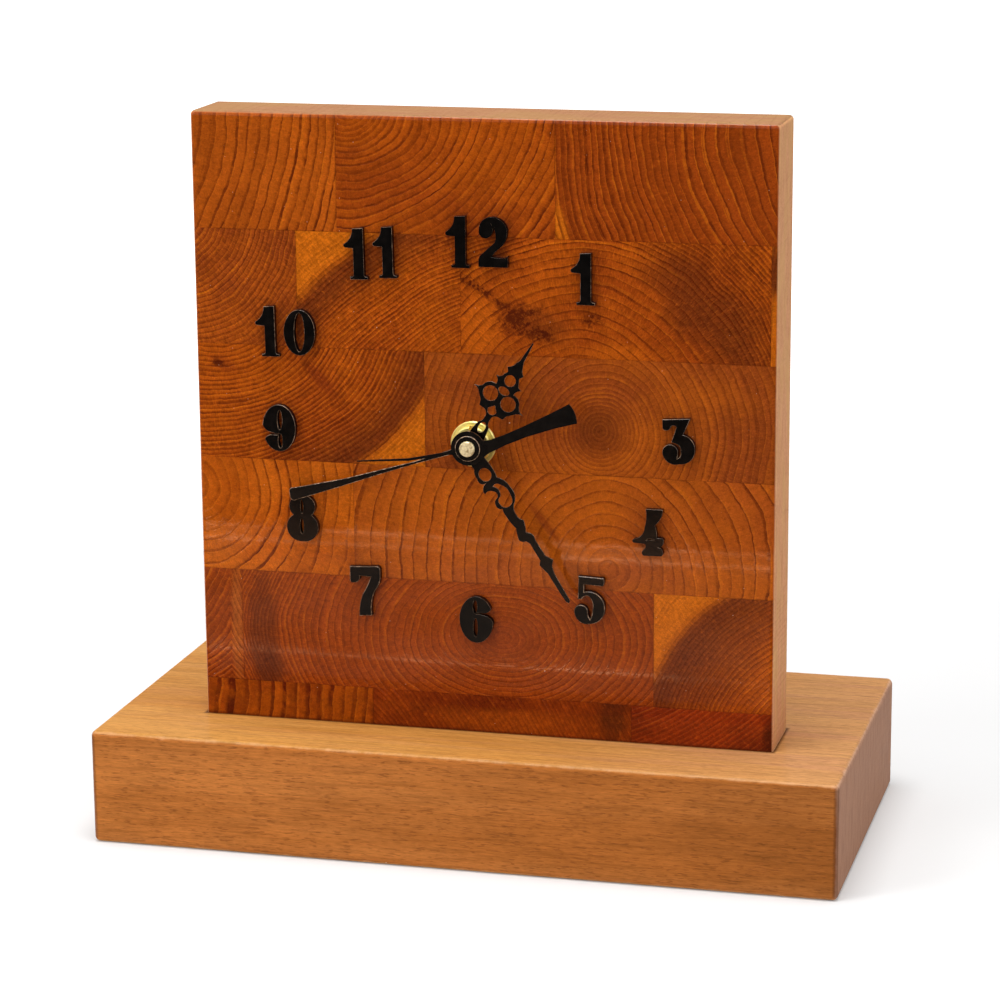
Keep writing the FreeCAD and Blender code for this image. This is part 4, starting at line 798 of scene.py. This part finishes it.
def softened(node, material, width, body):
    """A copy of a CAD node with its front edges rounded off, shown in the node's place."""
    same_place, flat_within = 1e-6, math.radians(0.5)
    level_with, sharp_from = 1e-5, math.radians(50)
    mesh = frame["nodes"][node].data.copy()
    mesh.name = node + "_rounded"
    work = bmesh.new()
    work.from_mesh(mesh)
    bmesh.ops.remove_doubles(work, verts=work.verts, dist=same_place)
    bmesh.ops.dissolve_limit(work, angle_limit=flat_within, verts=work.verts, edges=work.edges)
    front = min(v.co.y for v in work.verts)
    weight = work.edges.layers.float.new("bevel_weight_edge")
    for edge in work.edges:
        at_front = all(abs(v.co.y - front) < level_with for v in edge.verts)
        if at_front and edge.is_manifold and edge.calc_face_angle(0) > sharp_from:
            edge[weight] = 1.0
    work.to_mesh(mesh)
    work.free()
    made = bpy.data.objects.new(node + "_rounded", mesh)
    bpy.context.scene.collection.objects.link(made)
    mesh.materials.clear()
    mesh.materials.append(material)
    bevel = made.modifiers.new("rounded_front", "BEVEL")
    bevel.limit_method = "WEIGHT"
    bevel.width = width * MM
    bevel.segments = 1
    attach(made, body)
    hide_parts(node)


SLOTS = {part["node"]: part["material_slot"] for part in frame["record"]["subparts"]}

for node, grain in BLOCKS.items():
    dress(node, end_grain(node, **grain))

FINISHES = {
    "base_wood": board_wood(),
    "screw_steel": metal("zinc_steel", tone(206, 206, 200), tone(150, 152, 152), rough=0.32),
    "numeral_black": black_enamel(),
    "hand_black": black_lacquer(),
    "brass": turned_brass(),
    "pin_metal": metal("pin_steel", tone(250, 232, 184), tone(150, 116, 66), size=0.45, rough=0.36,
                       bare=0.4),
    "washer_rubber": plastic("rubber", tone(26, 25, 24), tone(38, 37, 35), rough=0.75),
    "case_plastic": case_moulding(),
    "gear_plastic": plastic("gear_moulding", tone(222, 218, 204), tone(202, 196, 178), rough=0.36),
    "magnet": metal("rotor_magnet", tone(92, 92, 94), tone(66, 66, 70), rough=0.4),
    "soft_iron": metal("stator_iron", tone(168, 166, 162), tone(126, 124, 120), stretch=(9, 1, 1),
                       rough=0.36),
    "coil_wire": coil_winding(),
    "board": circuit_board(),
    "can_metal": metal("crystal_can", tone(214, 212, 206), tone(172, 170, 166), rough=0.26),
    "battery_sleeve": cell_sleeve(),
    "contact_metal": metal("nickel_strip", tone(214, 208, 196), tone(170, 164, 152), stretch=(12, 1, 1),
                           rough=0.28),
    "knob_plastic": plastic("knob_moulding", tone(58, 58, 60), tone(76, 76, 78), rough=0.38),
}
for node, slot in SLOTS.items():
    if node not in BLOCKS:
        dress(node, FINISHES[slot])

for node in [node for node in frame["nodes"] if node.startswith("numeral_")]:
    softened(node, FINISHES["numeral_black"], NUMERAL_RIM, "clock_stand")
HANDS = {"hour_hand": "hours", "minute_hand": "minutes", "second_hand": "seconds",
         "pointer_hand": "pointer"}
for node, body in HANDS.items():
    softened(node, FINISHES["hand_black"], HAND_RIM, body)


# The studio: a white table, one large soft light from the upper left and weak ones from the right and above.
def seen_directly(tree):
    """1 for rays that look at the surface straight, in a mirror or through glass."""
    path = tree.nodes.new("ShaderNodeLightPath")
    total = path.outputs["Is Camera Ray"]
    for name in ("Is Glossy Ray", "Is Transmission Ray"):
        both = tree.nodes.new("ShaderNodeMath")
        both.operation = "MAXIMUM"
        tree.links.new(total, both.inputs[0])
        tree.links.new(path.outputs[name], both.inputs[1])
        total = both.outputs[0]
    return total


def flat_piece(name, corners, faces, material):
    """A flat piece of the stage from its corners in metres."""
    mesh = bpy.data.meshes.new(name)
    mesh.from_pydata(corners, [], faces)
    mesh.materials.append(material)
    made = bpy.data.objects.new(name, mesh)
    bpy.context.scene.collection.objects.link(made)
    return made


def table_white():
    """Matt white, with a share of its own white where it is looked at, so that only a soft shadow
    shows. The share grows from near the clock outwards."""
    material = bpy.data.materials.new("table_white")
    material.use_nodes = True
    tree = material.node_tree
    tree.nodes.clear()
    output = tree.nodes.new("ShaderNodeOutputMaterial")
    matt = tree.nodes.new("ShaderNodeBsdfDiffuse")
    matt.inputs["Color"].default_value = (0.66, 0.66, 0.66, 1.0)
    own = tree.nodes.new("ShaderNodeEmission")
    own.inputs["Color"].default_value = (1.0, 1.0, 1.0, 1.0)
    place = tree.nodes.new("ShaderNodeTexCoord")
    far = tree.nodes.new("ShaderNodeVectorMath")
    far.operation = "LENGTH"
    tree.links.new(place.outputs["Object"], far.inputs[0])
    near_clock, far_off = 0.3, 1.0
    fade = spread(tree, far.outputs["Value"], near_clock, far_off, 0.17, 1.0, "SMOOTHSTEP")
    share = tree.nodes.new("ShaderNodeMath")
    share.operation = "MULTIPLY"
    tree.links.new(seen_directly(tree), share.inputs[0])
    tree.links.new(fade, share.inputs[1])
    tree.links.new(share.outputs[0], own.inputs["Strength"])
    both = tree.nodes.new("ShaderNodeAddShader")
    tree.links.new(matt.outputs[0], both.inputs[0])
    tree.links.new(own.outputs[0], both.inputs[1])
    tree.links.new(both.outputs[0], output.inputs["Surface"])
    return material


def white_table():
    """The floor. It is open under the board, so that the underside can be looked at from below."""
    table_half, hidden_rim = 4.0, 5.0
    opening = ((BOARD_HALF_LENGTH - hidden_rim) * MM, (BOARD_HALF_DEPTH - hidden_rim) * MM)
    corners = []
    for half_x, half_y in ((table_half, table_half), opening):
        corners += [(-half_x, -half_y, 0), (half_x, -half_y, 0), (half_x, half_y, 0), (-half_x, half_y, 0)]
    flat_piece("table", corners, [(0, 1, 5, 4), (1, 2, 6, 5), (2, 3, 7, 6), (3, 0, 4, 7)], table_white())


def front_sheet(name, sides, near, far, height, material):
    """A flat piece on the table before the clock, from near to far, that only varnish and metal see."""
    left, right = sides
    corners = [(left, far, height), (right, far, height), (right, near, height), (left, near, height)]
    sheet = flat_piece(name, corners, [(0, 1, 2, 3)], material)
    sheet.visible_camera = False
    sheet.visible_diffuse = False
    sheet.visible_shadow = False


def reflection_sheet(name, colour, strength):
    """A dark sheet that gives off a patchy share of light of its own, which only the varnish shows: a painted
    reflection.
    """
    material = bpy.data.materials.new(name)
    material.use_nodes = True
    tree = material.node_tree
    shader = tree.nodes["Principled BSDF"]
    shader.inputs["Base Color"].default_value = (0.01, 0.01, 0.01, 1.0)
    shader.inputs["Roughness"].default_value = 0.9
    shader.inputs["Emission Color"].default_value = (*colour, 1.0)
    place = tree.nodes.new("ShaderNodeTexCoord")
    patches = tree.nodes.new("ShaderNodeTexNoise")
    patches.inputs["Scale"].default_value = 14.0
    patches.inputs["Detail"].default_value = 4.0
    tree.links.new(place.outputs["Object"], patches.inputs["Vector"])
    level = spread(tree, patches.outputs[0], 0.35, 0.65, 0.4 * strength, 1.6 * strength)
    tree.links.new(level, shader.inputs["Emission Strength"])
    return material


def reflection_sheets():
    """A dark sheet before the clock, seen only in reflections, paints a dark reflection that keeps
    the varnish clear; warm glowing strips on it, with brighter edge strips, paint a faint haze and thin lines
    in the panel's lower half."""
    sheet_sides, sheet_near, sheet_far, sheet_height = (-3.9, 3.9), -0.07, -3.9, 0.001
    strip_sides, strip_near, strip_height = (-0.30, 0.12), -0.205, 0.002
    front_sheet("dark_reflection_sheet", sheet_sides, sheet_near, sheet_far, sheet_height,
                reflection_sheet("dark_reflection_sheet", (1.0, 1.0, 1.0), 0.0))
    glow_strip = reflection_sheet("warm_glow_strip", (1.0, 0.80, 0.64), 0.52)
    hem_glow = reflection_sheet("hem_glow_strip", (1.0, 0.42, 0.18), 2.2)
    edge = reflection_sheet("edge_glow_strip", (1.0, 0.48, 0.24), 14.0)
    strips = ((-0.2349, glow_strip), (-0.2369, edge), (-0.4108, glow_strip), (-0.4134, edge), (-0.4344, hem_glow),
              (-0.4372, edge))
    near = strip_near
    for number, (far, material) in enumerate(strips, 1):
        front_sheet(f"mat_{number}", strip_sides, near, far, strip_height, material)
        near = far


def white_room():
    """The world: white where it is looked at, and a plain grey fill on the clock."""
    world = bpy.data.worlds.new("white_room")
    bpy.context.scene.world = world
    world.use_nodes = True
    tree = world.node_tree
    back = tree.nodes["Background"]
    back.inputs["Color"].default_value = (1.0, 1.0, 1.0, 1.0)
    level = spread(tree, seen_directly(tree), 0.0, 1.0, 0.42, 1.0)
    tree.links.new(level, back.inputs["Strength"])


def soft_light(name, place, width, height, power):
    """A soft light of that width and height at a place, turned to the middle of the clock."""
    middle = Vector((0.0, -0.02, 0.13))
    lamp = bpy.data.lights.new(name, "AREA")
    lamp.shape = "RECTANGLE"
    lamp.size = width
    lamp.size_y = height
    lamp.energy = power
    made = bpy.data.objects.new(name, lamp)
    bpy.context.scene.collection.objects.link(made)
    made.location = place
    made.rotation_mode = "QUATERNION"
    made.rotation_quaternion = (middle - Vector(place)).to_track_quat("-Z", "Y")


def look_from(place, bearing, downward, tilt, lens):
    """The camera at a place, turned to the left by its bearing and down, and tilted, in degrees."""
    data = bpy.data.cameras.new("camera")
    data.sensor_width = 36.0
    data.lens = lens
    data.clip_start = 0.05
    camera = bpy.data.objects.new("camera", data)
    bpy.context.scene.collection.objects.link(camera)
    turn = Matrix.Rotation(math.radians(bearing), 4, "Z")
    tip = Matrix.Rotation(math.radians(90 - downward), 4, "X")
    lean = Matrix.Rotation(math.radians(tilt), 4, "Z")
    camera.matrix_world = Matrix.Translation(place) @ turn @ tip @ lean
    bpy.context.scene.camera = camera


white_table()
reflection_sheets()
white_room()
soft_light("key_light", (-1.2, -1.05, 0.95), 0.6, 1.5, 13.0)
soft_light("right_light", (1.5, -0.5, 0.7), 0.8, 0.8, 3.5)
soft_light("top_light", (0.0, -0.2, 1.7), 0.9, 0.9, 25.0)
look_from((0.2821, -1.0820, 0.3840), bearing=14.60, downward=13.59, tilt=-0.45, lens=119.56)
bpy.context.scene.view_settings.view_transform = "Standard"
